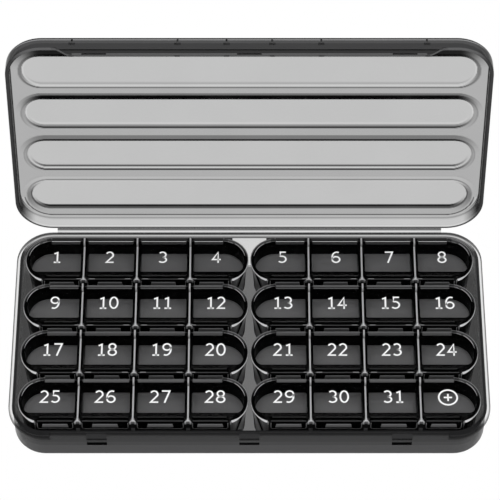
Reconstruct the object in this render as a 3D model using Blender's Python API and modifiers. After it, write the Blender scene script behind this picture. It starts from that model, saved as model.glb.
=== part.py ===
"""Monthly pill organizer: an open case with eight lift-out trays of four lidded compartments each.

The origin is the middle of the case's underside, +X runs along the case and -Y is the side with the snap
catches. Lengths are in metres. The case lid stands open, as it does on a table when the trays are in use.
"""
import math

import bmesh
import bpy
from mathutils import Matrix, Vector

# Clearance between pieces that touch, and the overlap that makes two shapes one body
GAP = 0.0003
OVERLAP = 0.0004

# Case base: the flange outline, the wall below it and the rounding of its bottom edge
CASE_WIDTH = 0.219
CASE_DEPTH = 0.1136
CASE_HEIGHT = 0.0204
CORNER_RADIUS = 0.0166
FLANGE_OVERHANG = 0.0019
FLANGE_HEIGHT = 0.0022
WALL = 0.0015
BOTTOM_ROUND = 0.004
FLANGE_END = 0.0195
FRONT_RECESS_WIDTH = CASE_WIDTH - 2 * FLANGE_END
INSIDE_WIDTH = CASE_WIDTH - 2 * (FLANGE_OVERHANG + WALL)
INSIDE_DEPTH = CASE_DEPTH - 2 * (FLANGE_OVERHANG + WALL)

# Snap catches on the front wall, each over a moulding window with a bar across it. Heights are depths below
# the mouth.
CATCH_INSET = 0.0403
CATCH_SPACING = CASE_WIDTH / 2 - CATCH_INSET
CATCH_WIDTH = 0.0091
CATCH_TOP = 0.0003
CATCH_BOTTOM = 0.0032
CATCH_FACE = 0.0008
CATCH_REACH = 0.0013
WINDOW_TOP = 0.00375
WINDOW_BAR_TOP = 0.0059
WINDOW_BAR_BOTTOM = 0.0075
WINDOW_BOTTOM = 0.0103

# Trays: two columns of four, each a long rounded tray with four compartments. They stand side by side within
# the base, so that their length and radius follow from its inside.
ROW_MARGIN = 0.0014
ROW_PITCH = (INSIDE_DEPTH - 2 * ROW_MARGIN) / 4
ROW_SHIFT = 0.001
ROW_SPACE = 0.0013
TRAY_RADIUS = ROW_PITCH / 2 - ROW_SPACE
FRONT_FLAT = 0.0008
TRAY_FRONT = TRAY_RADIUS - FRONT_FLAT
END_SPACE = 0.0011
MIDDLE_SPACE = 0.0007
TRAY_LENGTH = INSIDE_WIDTH / 2 - END_SPACE - MIDDLE_SPACE
COLUMN_PLACE = MIDDLE_SPACE + TRAY_LENGTH / 2
TRAY_BOTTOM = WALL + GAP
TRAY_PROUD = 0.0002
TRAY_HEIGHT = CASE_HEIGHT - TRAY_BOTTOM + TRAY_PROUD
TRAY_CHAMFER = 0.001
END_CELL_EXTRA = 0.00215
CELL_PITCH = (TRAY_LENGTH - 2 * END_CELL_EXTRA) / 4
DIVIDER = 0.003
CELL_WALL = 0.0017
CELL_RADIUS = TRAY_RADIUS - CELL_WALL
FRONT_WALL = 0.0048
CELL_FRONT = TRAY_FRONT - FRONT_WALL
CELL_CORNER = 0.003
CELL_DEPTH = 0.0096
CELL_FLOOR = TRAY_HEIGHT - CELL_DEPTH
FLOOR_THICKNESS = 0.0015
LEDGE_DROP = 0.0025
LEDGE_HEIGHT = TRAY_HEIGHT - LEDGE_DROP
LEDGE_REACH = 0.0028
LEDGE_BACK = TRAY_FRONT - LEDGE_REACH
END_WALL = 0.0013
POCKET_WALL = 0.0015
POCKET_RADIUS = TRAY_RADIUS - POCKET_WALL
POCKET_FRONT = TRAY_FRONT - POCKET_WALL
POCKET_RIB = 0.0015
END_CENTRE = TRAY_LENGTH / 2 - TRAY_RADIUS
CREASE = math.sqrt(TRAY_RADIUS ** 2 - TRAY_FRONT ** 2)
ROWS = [ROW_SHIFT + ROW_PITCH * step for step in (1.5, 0.5, -0.5, -1.5)]
DIVIDERS = [CELL_PITCH * step for step in (-1, 0, 1)]

# Case lid: outline, depth and the four raised fields over the tray rows
LID_OVERHANG = 0.0005
LID_WIDTH = CASE_WIDTH + 2 * LID_OVERHANG
LID_DEPTH = CASE_DEPTH
LID_HEIGHT = 0.007
LID_WALL = 0.0018
LID_ROUND = 0.0008
LID_OPEN_ANGLE = math.radians(99.35)
FIELD_MARGIN = 0.0052
FIELD_HALF_LENGTH = LID_WIDTH / 2 - FIELD_MARGIN
FIELD_SPACE = 0.0026
FIELD_RADIUS = ROW_PITCH / 2 - FIELD_SPACE
FIELD_END_SLOPE = 0.002
FIELD_TOP_HALF_LENGTH = FIELD_HALF_LENGTH - FIELD_END_SLOPE
FIELD_SIDE_SLOPE = 0.00355
FIELD_TOP_RADIUS = FIELD_RADIUS - FIELD_SIDE_SLOPE
FIELD_RISE = 0.0012
SKIRT_DROP = 0.0048
SKIRT_THICKNESS = 0.0011
SKIRT_CLEARANCE = 0.0015
SKIRT_HALF_WIDTH = FRONT_RECESS_WIDTH / 2 - SKIRT_CLEARANCE
SKIRT_STEP_WIDTH = 0.007
GROOVE_WIDTH = CATCH_WIDTH + 6 * GAP
GROOVE_TOP = 0.002
GROOVE_HEIGHT = 0.0018
GROOVE_SKIN = 0.0004
RIB_PLACE_SHARES = (0.1153, 0.3627, 0.896)
RIB_WIDTH = 0.0008
RIB_REACH = 0.0006

# Film hinge between base and lid: a round web on the hinge line
HINGE_SETBACK = 0.001
HINGE_RADIUS = 0.00065
HINGE_END = 0.019
HINGE_LENGTH = LID_WIDTH - 2 * HINGE_END
LID_SETBACK = 0.00115
HINGE_Y = CASE_DEPTH / 2 + HINGE_SETBACK
HINGE_Z = CASE_HEIGHT + GAP / 2

# Compartment lids: a plate with a front tab, turning on stub pins in bosses at its back edge
PLATE_THICKNESS = 0.0012
PLATE_GAP = 0.0009
PLATE_INSET = 0.001
PLATE_RADIUS = TRAY_RADIUS - PLATE_INSET
TAB_THICKNESS = 0.0012
TAB_FRONT = TRAY_FRONT + GAP + TAB_THICKNESS
TAB_DROP = 0.0054
TAB_INSET = 0.00135
TAB_CORNER = 0.0015
NECK_INSET = 0.0006
NECK_BACK = TRAY_FRONT - NECK_INSET
NECK_REACH = 0.0008
NECK_FRONT = TRAY_FRONT + NECK_REACH
END_TAB_REACH = CREASE - END_WALL
PAD_WIDTH = 0.0116
PAD_HEIGHT = 0.0026
PAD_TOP = 0.0011
PAD_REACH = 0.0004
BARREL_RADIUS = 0.0011
BARREL_INSET = 0.0021
BARREL_PLACE = TRAY_RADIUS - BARREL_INSET
BARREL_LIFT = 0.0014
NOTCH_REACH = 0.0023
BOSS_WIDTH = 0.0033
BOSS_BACK = TRAY_RADIUS - GAP
BOSS_RISE = 0.0027
END_BOSS_WIDTH = 0.002
SOCKET_DEPTH = 0.001
PIN_RADIUS = 0.0005

# Facets of round shapes
CORNER_STEPS = 7
EDGE_STEPS = 3
END_STEPS = 10
FIELD_STEPS = 8
BARREL_SIDES = 12
PIN_SIDES = 8


def clear_scene():
    """Remove what the file holds before the model is made."""
    for thing in list(bpy.data.objects):
        bpy.data.objects.remove(thing, do_unlink=True)


def collection(name):
    group = bpy.data.collections.new(name)
    bpy.context.scene.collection.children.link(group)
    return group


def plastic(name, colour, roughness):
    """A smoky see-through plastic."""
    material = bpy.data.materials.new(name)
    material.use_nodes = True
    shader = material.node_tree.nodes["Principled BSDF"]
    shader.inputs["Base Color"].default_value = (*colour, 1)
    shader.inputs["Roughness"].default_value = roughness
    shader.inputs["Metallic"].default_value = 0
    shader.inputs["Alpha"].default_value = 0.55
    return material


def arc(centre, radius, start, end, steps):
    """Points along an arc in the plane, with both ends."""
    turns = [math.radians(start + (end - start) * k / steps) for k in range(steps + 1)]
    return [(centre[0] + radius * math.cos(t), centre[1] + radius * math.sin(t)) for t in turns]


def rounded_rectangle(width, depth, radius, steps=CORNER_STEPS):
    """Outline of a rectangle about the origin with rounded corners, anticlockwise."""
    x, y = width / 2 - radius, depth / 2 - radius
    corners = [((x, y), 0), ((-x, y), 90), ((-x, -y), 180), ((x, -y), 270)]
    return [point for centre, turn in corners for point in arc(centre, radius, turn, turn + 90, steps)]


def obround(half_length, radius, steps):
    """Outline of a long field with half-round ends, anticlockwise."""
    x = half_length - radius
    return arc((x, 0), radius, -90, 90, steps) + arc((-x, 0), radius, 90, 270, steps)


def put(mesh, name, group, material=None):
    thing = bpy.data.objects.new(name, mesh)
    group.objects.link(thing)
    if material:
        mesh.materials.clear()
        mesh.materials.append(material)
    return thing


def outline_solid(name, outline, bottom, top, group):
    """A flat outline made solid between two heights."""
    curve = bpy.data.curves.new(name, "CURVE")
    curve.dimensions = "2D"
    curve.fill_mode = "BOTH"
    curve.extrude = (top - bottom) / 2
    spline = curve.splines.new("POLY")
    spline.points.add(len(outline) - 1)
    for point, (x, y) in zip(spline.points, outline):
        point.co = (x, y, 0, 1)
    spline.use_cyclic_u = True
    drawn = bpy.data.objects.new(name, curve)
    group.objects.link(drawn)
    depsgraph = bpy.context.evaluated_depsgraph_get()
    mesh = bpy.data.meshes.new_from_object(drawn.evaluated_get(depsgraph))
    bpy.data.objects.remove(drawn, do_unlink=True)
    mesh.transform(Matrix.Translation((0, 0, (top + bottom) / 2)))
    shape = bmesh.new()
    shape.from_mesh(mesh)
    bmesh.ops.remove_doubles(shape, verts=shape.verts, dist=GAP / 100)
    bmesh.ops.dissolve_limit(shape, angle_limit=math.radians(1), verts=shape.verts, edges=shape.edges)
    bmesh.ops.recalc_face_normals(shape, faces=shape.faces)
    shape.to_mesh(mesh)
    shape.free()
    return put(mesh, name, group)


def box(name, low, high, group):
    """A box between two corners."""
    shape = bmesh.new()
    bmesh.ops.create_cube(shape, size=1)
    size = [b - a for a, b in zip(low, high)]
    middle = [(a + b) / 2 for a, b in zip(low, high)]
    shape.transform(Matrix.Translation(middle) @ Matrix.Diagonal((*size, 1)))
    mesh = bpy.data.meshes.new(name)
    shape.to_mesh(mesh)
    shape.free()
    return put(mesh, name, group)


def rod(name, radius, start, end, y, z, sides, group):
    """A round rod along X."""
    shape = bmesh.new()
    turn = Matrix.Rotation(math.radians(90), 4, "Y")
    place = Matrix.Translation(((start + end) / 2, y, z)) @ turn
    bmesh.ops.create_cone(shape, cap_ends=True, segments=sides, radius1=radius, radius2=radius,
                          depth=abs(end - start), matrix=place)
    mesh = bpy.data.meshes.new(name)
    shape.to_mesh(mesh)
    shape.free()
    return put(mesh, name, group)


def loft(name, lower, bottom, upper, top, group):
    """A solid between two outlines with the same number of points."""
    shape = bmesh.new()
    rings = []
    for outline, height in ((lower, bottom), (upper, top)):
        rings.append([shape.verts.new((x, y, height)) for x, y in outline])
    count = len(lower)
    for k in range(count):
        nxt = (k + 1) % count
        shape.faces.new((rings[0][k], rings[0][nxt], rings[1][nxt], rings[1][k]))
    shape.faces.new(list(reversed(rings[0])))
    shape.faces.new(rings[1])
    bmesh.ops.recalc_face_normals(shape, faces=shape.faces)
    mesh = bpy.data.meshes.new(name)
    shape.to_mesh(mesh)
    shape.free()
    return put(mesh, name, group)


def combine(target, operation, shape):
    """Join a shape to the target, or cut it out of the target."""
    step = target.modifiers.new(operation.lower(), "BOOLEAN")
    step.operation = operation
    step.solver = "EXACT"
    step.object = shape
    bake(target)
    bpy.data.objects.remove(shape, do_unlink=True)


def bake(target):
    """Keep the shaped result as the piece's own faces, without stray points or split flats."""
    depsgraph = bpy.context.evaluated_depsgraph_get()
    mesh = bpy.data.meshes.new_from_object(target.evaluated_get(depsgraph))
    target.modifiers.clear()
    shape = bmesh.new()
    shape.from_mesh(mesh)
    bmesh.ops.remove_doubles(shape, verts=shape.verts, dist=GAP / 100)
    bmesh.ops.dissolve_limit(shape, angle_limit=math.radians(0.5), verts=shape.verts, edges=shape.edges)
    shape.to_mesh(mesh)
    shape.free()
    target.data = mesh


def open_shell(name, outline, bottom, top, closed_end, rounding, wall, group):
    """An outline's wall and one end, with a rounded edge between them, thickened inwards."""
    shell = outline_solid(name, outline, bottom, top, group)
    shape = bmesh.new()
    shape.from_mesh(shell.data)
    open_end = top if closed_end == bottom else bottom
    lid = [face for face in shape.faces if all(abs(v.co.z - open_end) < GAP / 10 for v in face.verts)]
    bmesh.ops.delete(shape, geom=lid, context="FACES_ONLY")
    round_rim(shape, closed_end, rounding)
    shape.to_mesh(shell.data)
    shape.free()
    thicken = shell.modifiers.new("thickness", "SOLIDIFY")
    thicken.thickness = wall
    thicken.offset = -1
    thicken.use_even_offset = True
    bake(shell)
    return shell


def round_rim(shape, height, rounding):
    """Round the edges of the end that lies at one height."""
    rim = [edge for edge in shape.edges if all(abs(v.co.z - height) < GAP / 10 for v in edge.verts)]
    bmesh.ops.bevel(shape, geom=rim, offset=rounding, segments=EDGE_STEPS, profile=0.5, affect="EDGES",
                    clamp_overlap=False)


def make_base(group, cutters, material):
    """The case base: a rounded shell with a flange, a front recess, three catches and their windows."""
    width, depth = CASE_WIDTH - 2 * FLANGE_OVERHANG, CASE_DEPTH - 2 * FLANGE_OVERHANG
    outline = rounded_rectangle(width, depth, CORNER_RADIUS - FLANGE_OVERHANG)
    base = open_shell("base_shell", outline, 0, CASE_HEIGHT, 0, BOTTOM_ROUND, WALL, group)
    flange_outline = rounded_rectangle(CASE_WIDTH, CASE_DEPTH, CORNER_RADIUS)
    flange_bottom = CASE_HEIGHT - FLANGE_HEIGHT
    flange = outline_solid("flange", flange_outline, flange_bottom, CASE_HEIGHT, cutters)
    inner = rounded_rectangle(width - WALL, depth - WALL, CORNER_RADIUS - FLANGE_OVERHANG - WALL / 2)
    hole = outline_solid("hole", inner, flange_bottom - WALL, CASE_HEIGHT + WALL, cutters)
    combine(flange, "DIFFERENCE", hole)
    half = FRONT_RECESS_WIDTH / 2
    recess = box("recess", (-half, -CASE_DEPTH, flange_bottom - WALL),
                 (half, OVERLAP - depth / 2, CASE_HEIGHT + WALL), cutters)
    combine(flange, "DIFFERENCE", recess)
    combine(base, "UNION", flange)
    front = -depth / 2
    for place in (-CATCH_SPACING, 0, CATCH_SPACING):
        left, right = place - CATCH_WIDTH / 2, place + CATCH_WIDTH / 2
        low, high = CASE_HEIGHT - CATCH_BOTTOM, CASE_HEIGHT - CATCH_TOP
        profile = [(0, low), (CATCH_REACH, low), (CATCH_REACH, low + CATCH_FACE), (0, high), (-OVERLAP, high),
                   (-OVERLAP, low)]
        catch = outline_solid("catch", profile, left, right, cutters)
        catch.data.transform(Matrix(((0, 0, 1, 0), (-1, 0, 0, front), (0, 1, 0, 0), (0, 0, 0, 1))))
        combine(base, "UNION", catch)
        for lower, upper in ((WINDOW_BOTTOM, WINDOW_BAR_BOTTOM), (WINDOW_BAR_TOP, WINDOW_TOP)):
            window = box("window", (left, front - WALL, CASE_HEIGHT - lower),
                         (right, front + 2 * WALL, CASE_HEIGHT - upper), cutters)
            combine(base, "DIFFERENCE", window)
    base.data.materials.append(material)
    return base


def skirt_outline():
    """The front skirt seen from the front: a long tongue with an S-shaped step at each end."""
    steps = 6
    side = []
    for k in range(steps + 1):
        share = k / steps
        fall = SKIRT_DROP * (1 - math.cos(math.pi * share)) / 2
        side.append((SKIRT_HALF_WIDTH - SKIRT_STEP_WIDTH * share, -fall))
    right = [(SKIRT_HALF_WIDTH, LID_WALL)] + side
    left = [(-x, z) for x, z in reversed(right)]
    return right + left


def make_lid(group, cutters, material):
    """The case lid, drawn shut about its hinge line and then turned open."""
    rim = GAP / 2
    back = -LID_SETBACK
    middle = back - LID_DEPTH / 2
    front = back - LID_DEPTH
    radius = CORNER_RADIUS + (LID_WIDTH - CASE_WIDTH) / 2
    outline = [(x, y + middle) for x, y in rounded_rectangle(LID_WIDTH, LID_DEPTH, radius)]
    hollow = rounded_rectangle(LID_WIDTH - 2 * LID_WALL, LID_DEPTH - 2 * LID_WALL, radius - LID_WALL)
    top = rim + LID_HEIGHT
    lid = outline_solid("case_lid", outline, rim, top, group)
    shape = bmesh.new()
    shape.from_mesh(lid.data)
    round_rim(shape, top, LID_ROUND)
    shape.to_mesh(lid.data)
    shape.free()
    inside = outline_solid("inside", [(x, y + middle) for x, y in hollow], rim - LID_WALL, top - LID_WALL, cutters)
    combine(lid, "DIFFERENCE", inside)
    fields = [row - HINGE_Y for row in ROWS]
    for y in fields:
        lower = [(px, py + y) for px, py in obround(FIELD_HALF_LENGTH, FIELD_RADIUS, FIELD_STEPS)]
        upper = [(px, py + y) for px, py in obround(FIELD_TOP_HALF_LENGTH, FIELD_TOP_RADIUS, FIELD_STEPS)]
        combine(lid, "UNION", loft("raise", lower, top - OVERLAP, upper, top + FIELD_RISE, cutters))
        ceiling = top - LID_WALL
        combine(lid, "DIFFERENCE", loft("dish", lower, ceiling - OVERLAP, upper, ceiling + FIELD_RISE, cutters))
    skirt = outline_solid("skirt", skirt_outline(), 0, SKIRT_THICKNESS, cutters)
    skirt.data.transform(Matrix(((1, 0, 0, 0), (0, 0, 1, front), (0, 1, 0, rim), (0, 0, 0, 1))))
    flip_to_outside(skirt)
    combine(lid, "UNION", skirt)
    for place in (-CATCH_SPACING, 0, CATCH_SPACING):
        left, right = place - GROOVE_WIDTH / 2, place + GROOVE_WIDTH / 2
        groove_top = rim - GROOVE_TOP
        groove = box("groove", (left, front + GROOVE_SKIN, groove_top - GROOVE_HEIGHT),
                     (right, front + LID_WALL, groove_top), cutters)
        combine(lid, "DIFFERENCE", groove)
    for place in [sign * share * SKIRT_HALF_WIDTH for share in RIB_PLACE_SHARES for sign in (-1, 1)]:
        left, right = place - RIB_WIDTH / 2, place + RIB_WIDTH / 2
        low_rib = box("rib", (left, front + SKIRT_THICKNESS - OVERLAP, rim - SKIRT_DROP + OVERLAP),
                      (right, front + SKIRT_THICKNESS + RIB_REACH, rim + LID_WALL), cutters)
        combine(lid, "UNION", low_rib)
        high_rib = box("rib", (left, front + LID_WALL - OVERLAP, rim + OVERLAP),
                       (right, front + LID_WALL + RIB_REACH, top - LID_WALL + OVERLAP), cutters)
        combine(lid, "UNION", high_rib)
    lid.data.materials.append(material)
    lid.location = (0, HINGE_Y, HINGE_Z)
    lid.rotation_euler = (-LID_OPEN_ANGLE, 0, 0)
    return lid


def flip_to_outside(thing):
    """Turn a solid's faces outwards after a mirroring placement."""
    shape = bmesh.new()
    shape.from_mesh(thing.data)
    bmesh.ops.recalc_face_normals(shape, faces=shape.faces)
    shape.to_mesh(thing.data)
    shape.free()


def make_hinge(group, material):
    """The film hinge, as a round web along the hinge line."""
    web = rod("hinge_web", HINGE_RADIUS, -HINGE_LENGTH / 2, HINGE_LENGTH / 2, 0, 0, BARREL_SIDES, group)
    web.location = (0, HINGE_Y, HINGE_Z)
    web.data.materials.append(material)
    return web


def tray_outline():
    """A tray seen from above: round ends, cut flat along the front."""
    cut = math.degrees(math.asin(TRAY_FRONT / TRAY_RADIUS))
    right = arc((END_CENTRE, 0), TRAY_RADIUS, -cut, 90, END_STEPS)
    return right + [(-x, y) for x, y in reversed(right)]


def cell_outline(left, right, radius, front, corner):
    """A compartment seen from above; one that reaches past a tray's end centre has that round end."""
    if max(abs(left), abs(right)) < END_CENTRE:
        return [(left, -front), (right, -front), (right, radius), (left, radius)]
    side = -1 if left < 0 else 1
    inner = min(abs(left), abs(right))
    centre_y = corner - front
    centre_x = END_CENTRE + math.sqrt((radius - corner) ** 2 - centre_y ** 2)
    meet = math.degrees(math.atan2(centre_y, centre_x - END_CENTRE))
    points = [(inner, -front)]
    points += arc((centre_x, centre_y), corner, -90, meet, 3)
    points += arc((END_CENTRE, 0), radius, meet, 90, END_STEPS // 2 + 2)[1:]
    points.append((inner, radius))
    if side < 0:
        points = [(-x, y) for x, y in reversed(points)]
    return points


def make_tray_mesh(cutters):
    """One tray: outer wall, four compartments, a low front ledge, hinge bosses and a hollow underside."""
    tray = outline_solid("tray", tray_outline(), 0, TRAY_HEIGHT, cutters)
    shape = bmesh.new()
    shape.from_mesh(tray.data)
    edges = [edge for edge in shape.edges if all(abs(v.co.z) < GAP / 10 for v in edge.verts)]
    bmesh.ops.bevel(shape, geom=edges, offset=TRAY_CHAMFER, segments=1, affect="EDGES")
    shape.to_mesh(tray.data)
    shape.free()
    crease = END_CENTRE + CREASE
    ends = TRAY_LENGTH / 2
    edges = [-ends] + DIVIDERS + [ends]
    for left, right in zip(edges, edges[1:]):
        wall_left = left + (DIVIDER / 2 if left > -ends else 0)
        wall_right = right - (DIVIDER / 2 if right < ends else 0)
        cell = cell_outline(wall_left, wall_right, CELL_RADIUS, CELL_FRONT, CELL_CORNER)
        combine(tray, "DIFFERENCE", outline_solid("cell", cell, CELL_FLOOR, TRAY_HEIGHT + WALL, cutters))
        rib_left = left + (POCKET_RIB / 2 if left > -ends else 0)
        rib_right = right - (POCKET_RIB / 2 if right < ends else 0)
        pocket = cell_outline(rib_left, rib_right, POCKET_RADIUS, POCKET_FRONT, TRAY_CHAMFER / 2)
        ceiling = CELL_FLOOR - FLOOR_THICKNESS
        combine(tray, "DIFFERENCE", outline_solid("pocket", pocket, -WALL, ceiling, cutters))
        ledge_left = max(left + BOSS_WIDTH / 2, END_WALL - crease)
        ledge_right = min(right - BOSS_WIDTH / 2, crease - END_WALL)
        ledge = box("ledge", (ledge_left, -TRAY_RADIUS, LEDGE_HEIGHT),
                    (ledge_right, -LEDGE_BACK, TRAY_HEIGHT + WALL), cutters)
        combine(tray, "DIFFERENCE", ledge)
    boss_front = BARREL_PLACE - BARREL_RADIUS - GAP
    base_z, top_z = TRAY_HEIGHT - OVERLAP, TRAY_HEIGHT + BOSS_RISE
    axis_z = TRAY_HEIGHT + BARREL_LIFT
    socket_radius = PIN_RADIUS + GAP
    for x in DIVIDERS:
        half = BOSS_WIDTH / 2
        combine(tray, "UNION", box("boss", (x - half, boss_front, base_z), (x + half, BOSS_BACK, top_z), cutters))
        for side in (-1, 1):
            mouth, floor = x + side * (half + GAP), x + side * (half - SOCKET_DEPTH)
            hole = rod("socket", socket_radius, mouth, floor, BARREL_PLACE, axis_z, PIN_SIDES, cutters)
            combine(tray, "DIFFERENCE", hole)
    for side in (-1, 1):
        near, far = END_CENTRE + GAP, END_CENTRE + GAP + END_BOSS_WIDTH
        low_x, high_x = sorted((side * near, side * far))
        combine(tray, "UNION", box("boss", (low_x, boss_front, base_z - DIVIDER), (high_x, BOSS_BACK - GAP, top_z),
                                   cutters))
        hole = rod("socket", socket_radius, side * (near - GAP), side * (near + SOCKET_DEPTH), BARREL_PLACE,
                   axis_z, PIN_SIDES, cutters)
        combine(tray, "DIFFERENCE", hole)
    mesh = tray.data
    bpy.data.objects.remove(tray, do_unlink=True)
    return mesh


def plate_outline(half, end):
    """A compartment lid's plate about its own middle, for an inner lid or one at a tray's right end."""
    boss = BOSS_WIDTH / 2 + GAP
    notch = BARREL_PLACE - NOTCH_REACH
    side = half - PLATE_GAP / 2
    left = [(-side + TAB_INSET, -TAB_FRONT), (-side + TAB_INSET, -NECK_FRONT), (-side, -NECK_BACK),
            (-side, notch), (-half + boss, notch), (-half + boss, BARREL_PLACE)]
    if not end:
        return [(-x, y) for x, y in reversed(left)] + left
    centre = END_CENTRE - (DIVIDERS[-1] + half)
    turn = math.degrees(math.acos(END_TAB_REACH / PLATE_RADIUS))
    back = BARREL_PLACE - GAP
    start = math.degrees(math.asin(back / PLATE_RADIUS))
    far = centre + 2 * GAP + END_BOSS_WIDTH
    right = [(centre + END_TAB_REACH, -TAB_FRONT)]
    right += arc((centre, 0), PLATE_RADIUS, -turn, start, END_STEPS)
    right += [(far, back), (far, notch), (centre, notch), (centre, BARREL_PLACE)]
    return right + left[::-1]


def make_plate_mesh(end, cutters):
    """One compartment lid about its pin line: plate, front tab with a thumb pad, barrel and stub pins."""
    half = CELL_PITCH / 2
    top = TRAY_HEIGHT + GAP + PLATE_THICKNESS
    outline = plate_outline(half, end)
    lid = outline_solid("plate", outline, top - PLATE_THICKNESS, top, cutters)
    centre = END_CENTRE - (DIVIDERS[-1] + half)
    tab_left = -half + PLATE_GAP / 2 + TAB_INSET
    tab_right = centre + END_TAB_REACH if end else -tab_left
    middle, reach = (tab_left + tab_right) / 2, (tab_right - tab_left) / 2
    corner = TAB_CORNER
    low = -TAB_DROP
    shape = [(tab_left, 0), (tab_left, low + corner)]
    shape += arc((tab_left + corner, low + corner), corner, 180, 270, 3)[1:]
    shape += arc((tab_right - corner, low + corner), corner, 270, 360, 3)
    shape += [(tab_right, 0)]
    tab = outline_solid("tab", shape, 0, TAB_THICKNESS, cutters)
    tab.data.transform(Matrix(((1, 0, 0, 0), (0, 0, 1, -TAB_FRONT), (0, 1, 0, top), (0, 0, 0, 1))))
    flip_to_outside(tab)
    combine(lid, "UNION", tab)
    pad_top = top - PAD_TOP
    pad = box("pad", (middle - PAD_WIDTH / 2, -TAB_FRONT - PAD_REACH, pad_top - PAD_HEIGHT),
              (middle + PAD_WIDTH / 2, -TAB_FRONT + OVERLAP, pad_top), cutters)
    combine(lid, "UNION", pad)
    axis_z = TRAY_HEIGHT + BARREL_LIFT
    barrel_left = -half + BOSS_WIDTH / 2 + GAP
    barrel_right = centre if end else -barrel_left
    barrel = rod("barrel", BARREL_RADIUS, barrel_left, barrel_right, BARREL_PLACE, axis_z, BARREL_SIDES, cutters)
    combine(lid, "UNION", barrel)
    pin_reach = SOCKET_DEPTH
    for start, side in ((barrel_left, -1), (barrel_right, 1)):
        pin = rod("pin", PIN_RADIUS, start - side * OVERLAP, start + side * pin_reach, BARREL_PLACE, axis_z,
                  PIN_SIDES, cutters)
        combine(lid, "UNION", pin)
    mesh = lid.data
    mesh.transform(Matrix.Translation((0, -BARREL_PLACE, -axis_z)))
    bpy.data.objects.remove(lid, do_unlink=True)
    return mesh


def mirrored(mesh):
    """A mesh's twin for the other end of a tray."""
    twin = mesh.copy()
    twin.transform(Matrix.Diagonal((-1, 1, 1, 1)))
    twin.flip_normals()
    return twin


def build():
    clear_scene()
    model = collection("monthly_pill_organizer")
    cutters = collection("cutters")
    smoke = plastic("smoke_case_plastic", (0.08, 0.08, 0.085), 0.08)
    clear_smoke = plastic("smoke_lid_plastic", (0.3, 0.3, 0.31), 0.06)
    tray_smoke = plastic("smoke_tray_plastic", (0.02, 0.02, 0.022), 0.12)
    plate_smoke = plastic("smoke_plate_plastic", (0.05, 0.05, 0.055), 0.08)
    web_smoke = plastic("smoke_hinge_plastic", (0.35, 0.35, 0.36), 0.3)
    make_base(model, cutters, smoke)
    make_lid(model, cutters, clear_smoke)
    make_hinge(model, web_smoke)
    tray_mesh = make_tray_mesh(cutters)
    tray_mesh.materials.append(tray_smoke)
    inner_mesh = make_plate_mesh(False, cutters)
    right_mesh = make_plate_mesh(True, cutters)
    left_mesh = mirrored(right_mesh)
    for mesh in (inner_mesh, right_mesh, left_mesh):
        mesh.materials.append(plate_smoke)
    plates = (left_mesh, inner_mesh, inner_mesh, right_mesh)
    number = 0
    for row, row_y in enumerate(ROWS, start=1):
        for column, side in (("left", -1), ("right", 1)):
            place = Vector((side * COLUMN_PLACE, row_y, TRAY_BOTTOM))
            tray = put(tray_mesh, f"tray_{row}_{column}", model)
            tray.location = place
            for cell, mesh in enumerate(plates):
                number += 1
                plate = put(mesh, f"lid_{number:02d}", model)
                middle = CELL_PITCH * (cell - 1.5)
                axis = Vector((middle, BARREL_PLACE, TRAY_HEIGHT + BARREL_LIFT))
                plate.parent = tray
                plate.location = axis
    for thing in model.objects:
        thing.data.set_sharp_from_angle(angle=math.radians(30))
    bpy.context.view_layer.update()


build()
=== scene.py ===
"""Looks of a monthly pill organizer in smoky clear plastic: the case stands open on a pale table.

Lengths in the formulas are millimetres. The origin is the middle of the case's underside, X runs along the
case, -Y is its front and Z is up.
"""
import math

import bmesh
import bpy
import numpy as np
from mathutils import Matrix


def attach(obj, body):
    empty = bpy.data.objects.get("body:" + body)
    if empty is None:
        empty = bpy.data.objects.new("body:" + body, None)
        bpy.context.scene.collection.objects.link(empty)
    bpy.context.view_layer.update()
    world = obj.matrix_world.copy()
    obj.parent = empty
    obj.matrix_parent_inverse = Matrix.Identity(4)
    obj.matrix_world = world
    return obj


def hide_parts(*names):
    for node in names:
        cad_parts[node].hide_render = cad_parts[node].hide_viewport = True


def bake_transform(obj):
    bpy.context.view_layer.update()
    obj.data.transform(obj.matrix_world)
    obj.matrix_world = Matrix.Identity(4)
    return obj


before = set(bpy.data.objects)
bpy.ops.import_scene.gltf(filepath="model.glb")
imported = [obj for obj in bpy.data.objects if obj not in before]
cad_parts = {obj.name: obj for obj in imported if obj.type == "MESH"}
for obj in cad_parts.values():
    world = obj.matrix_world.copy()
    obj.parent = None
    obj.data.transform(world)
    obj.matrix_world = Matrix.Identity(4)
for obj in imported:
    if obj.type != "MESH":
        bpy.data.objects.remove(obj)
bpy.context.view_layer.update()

# Table and studio light: the case stands on a white table that runs out of sight, with one broad soft lamp
# overhead and a weaker one in front. The room that glosses mirror is dim, so that the plastic's dark parts
# stay dark.
scene = bpy.context.scene
scene.view_settings.view_transform = "Standard"


def seen_white(nodes, links):
    """One for what the camera or clear plastic sees, zero for light that falls on the object."""
    path = nodes.new("ShaderNodeLightPath")
    first = nodes.new("ShaderNodeMath")
    first.operation = "MAXIMUM"
    links.new(path.outputs["Is Camera Ray"], first.inputs[0])
    links.new(path.outputs["Is Transmission Ray"], first.inputs[1])
    return path, first.outputs[0]


def carry(nodes, links, source, low, high):
    """A value from nought to one, carried over to the range from low to high."""
    ranged = nodes.new("ShaderNodeMapRange")
    ranged.inputs["To Min"].default_value = low
    ranged.inputs["To Max"].default_value = high
    links.new(source, ranged.inputs["Value"])
    return ranged


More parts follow.
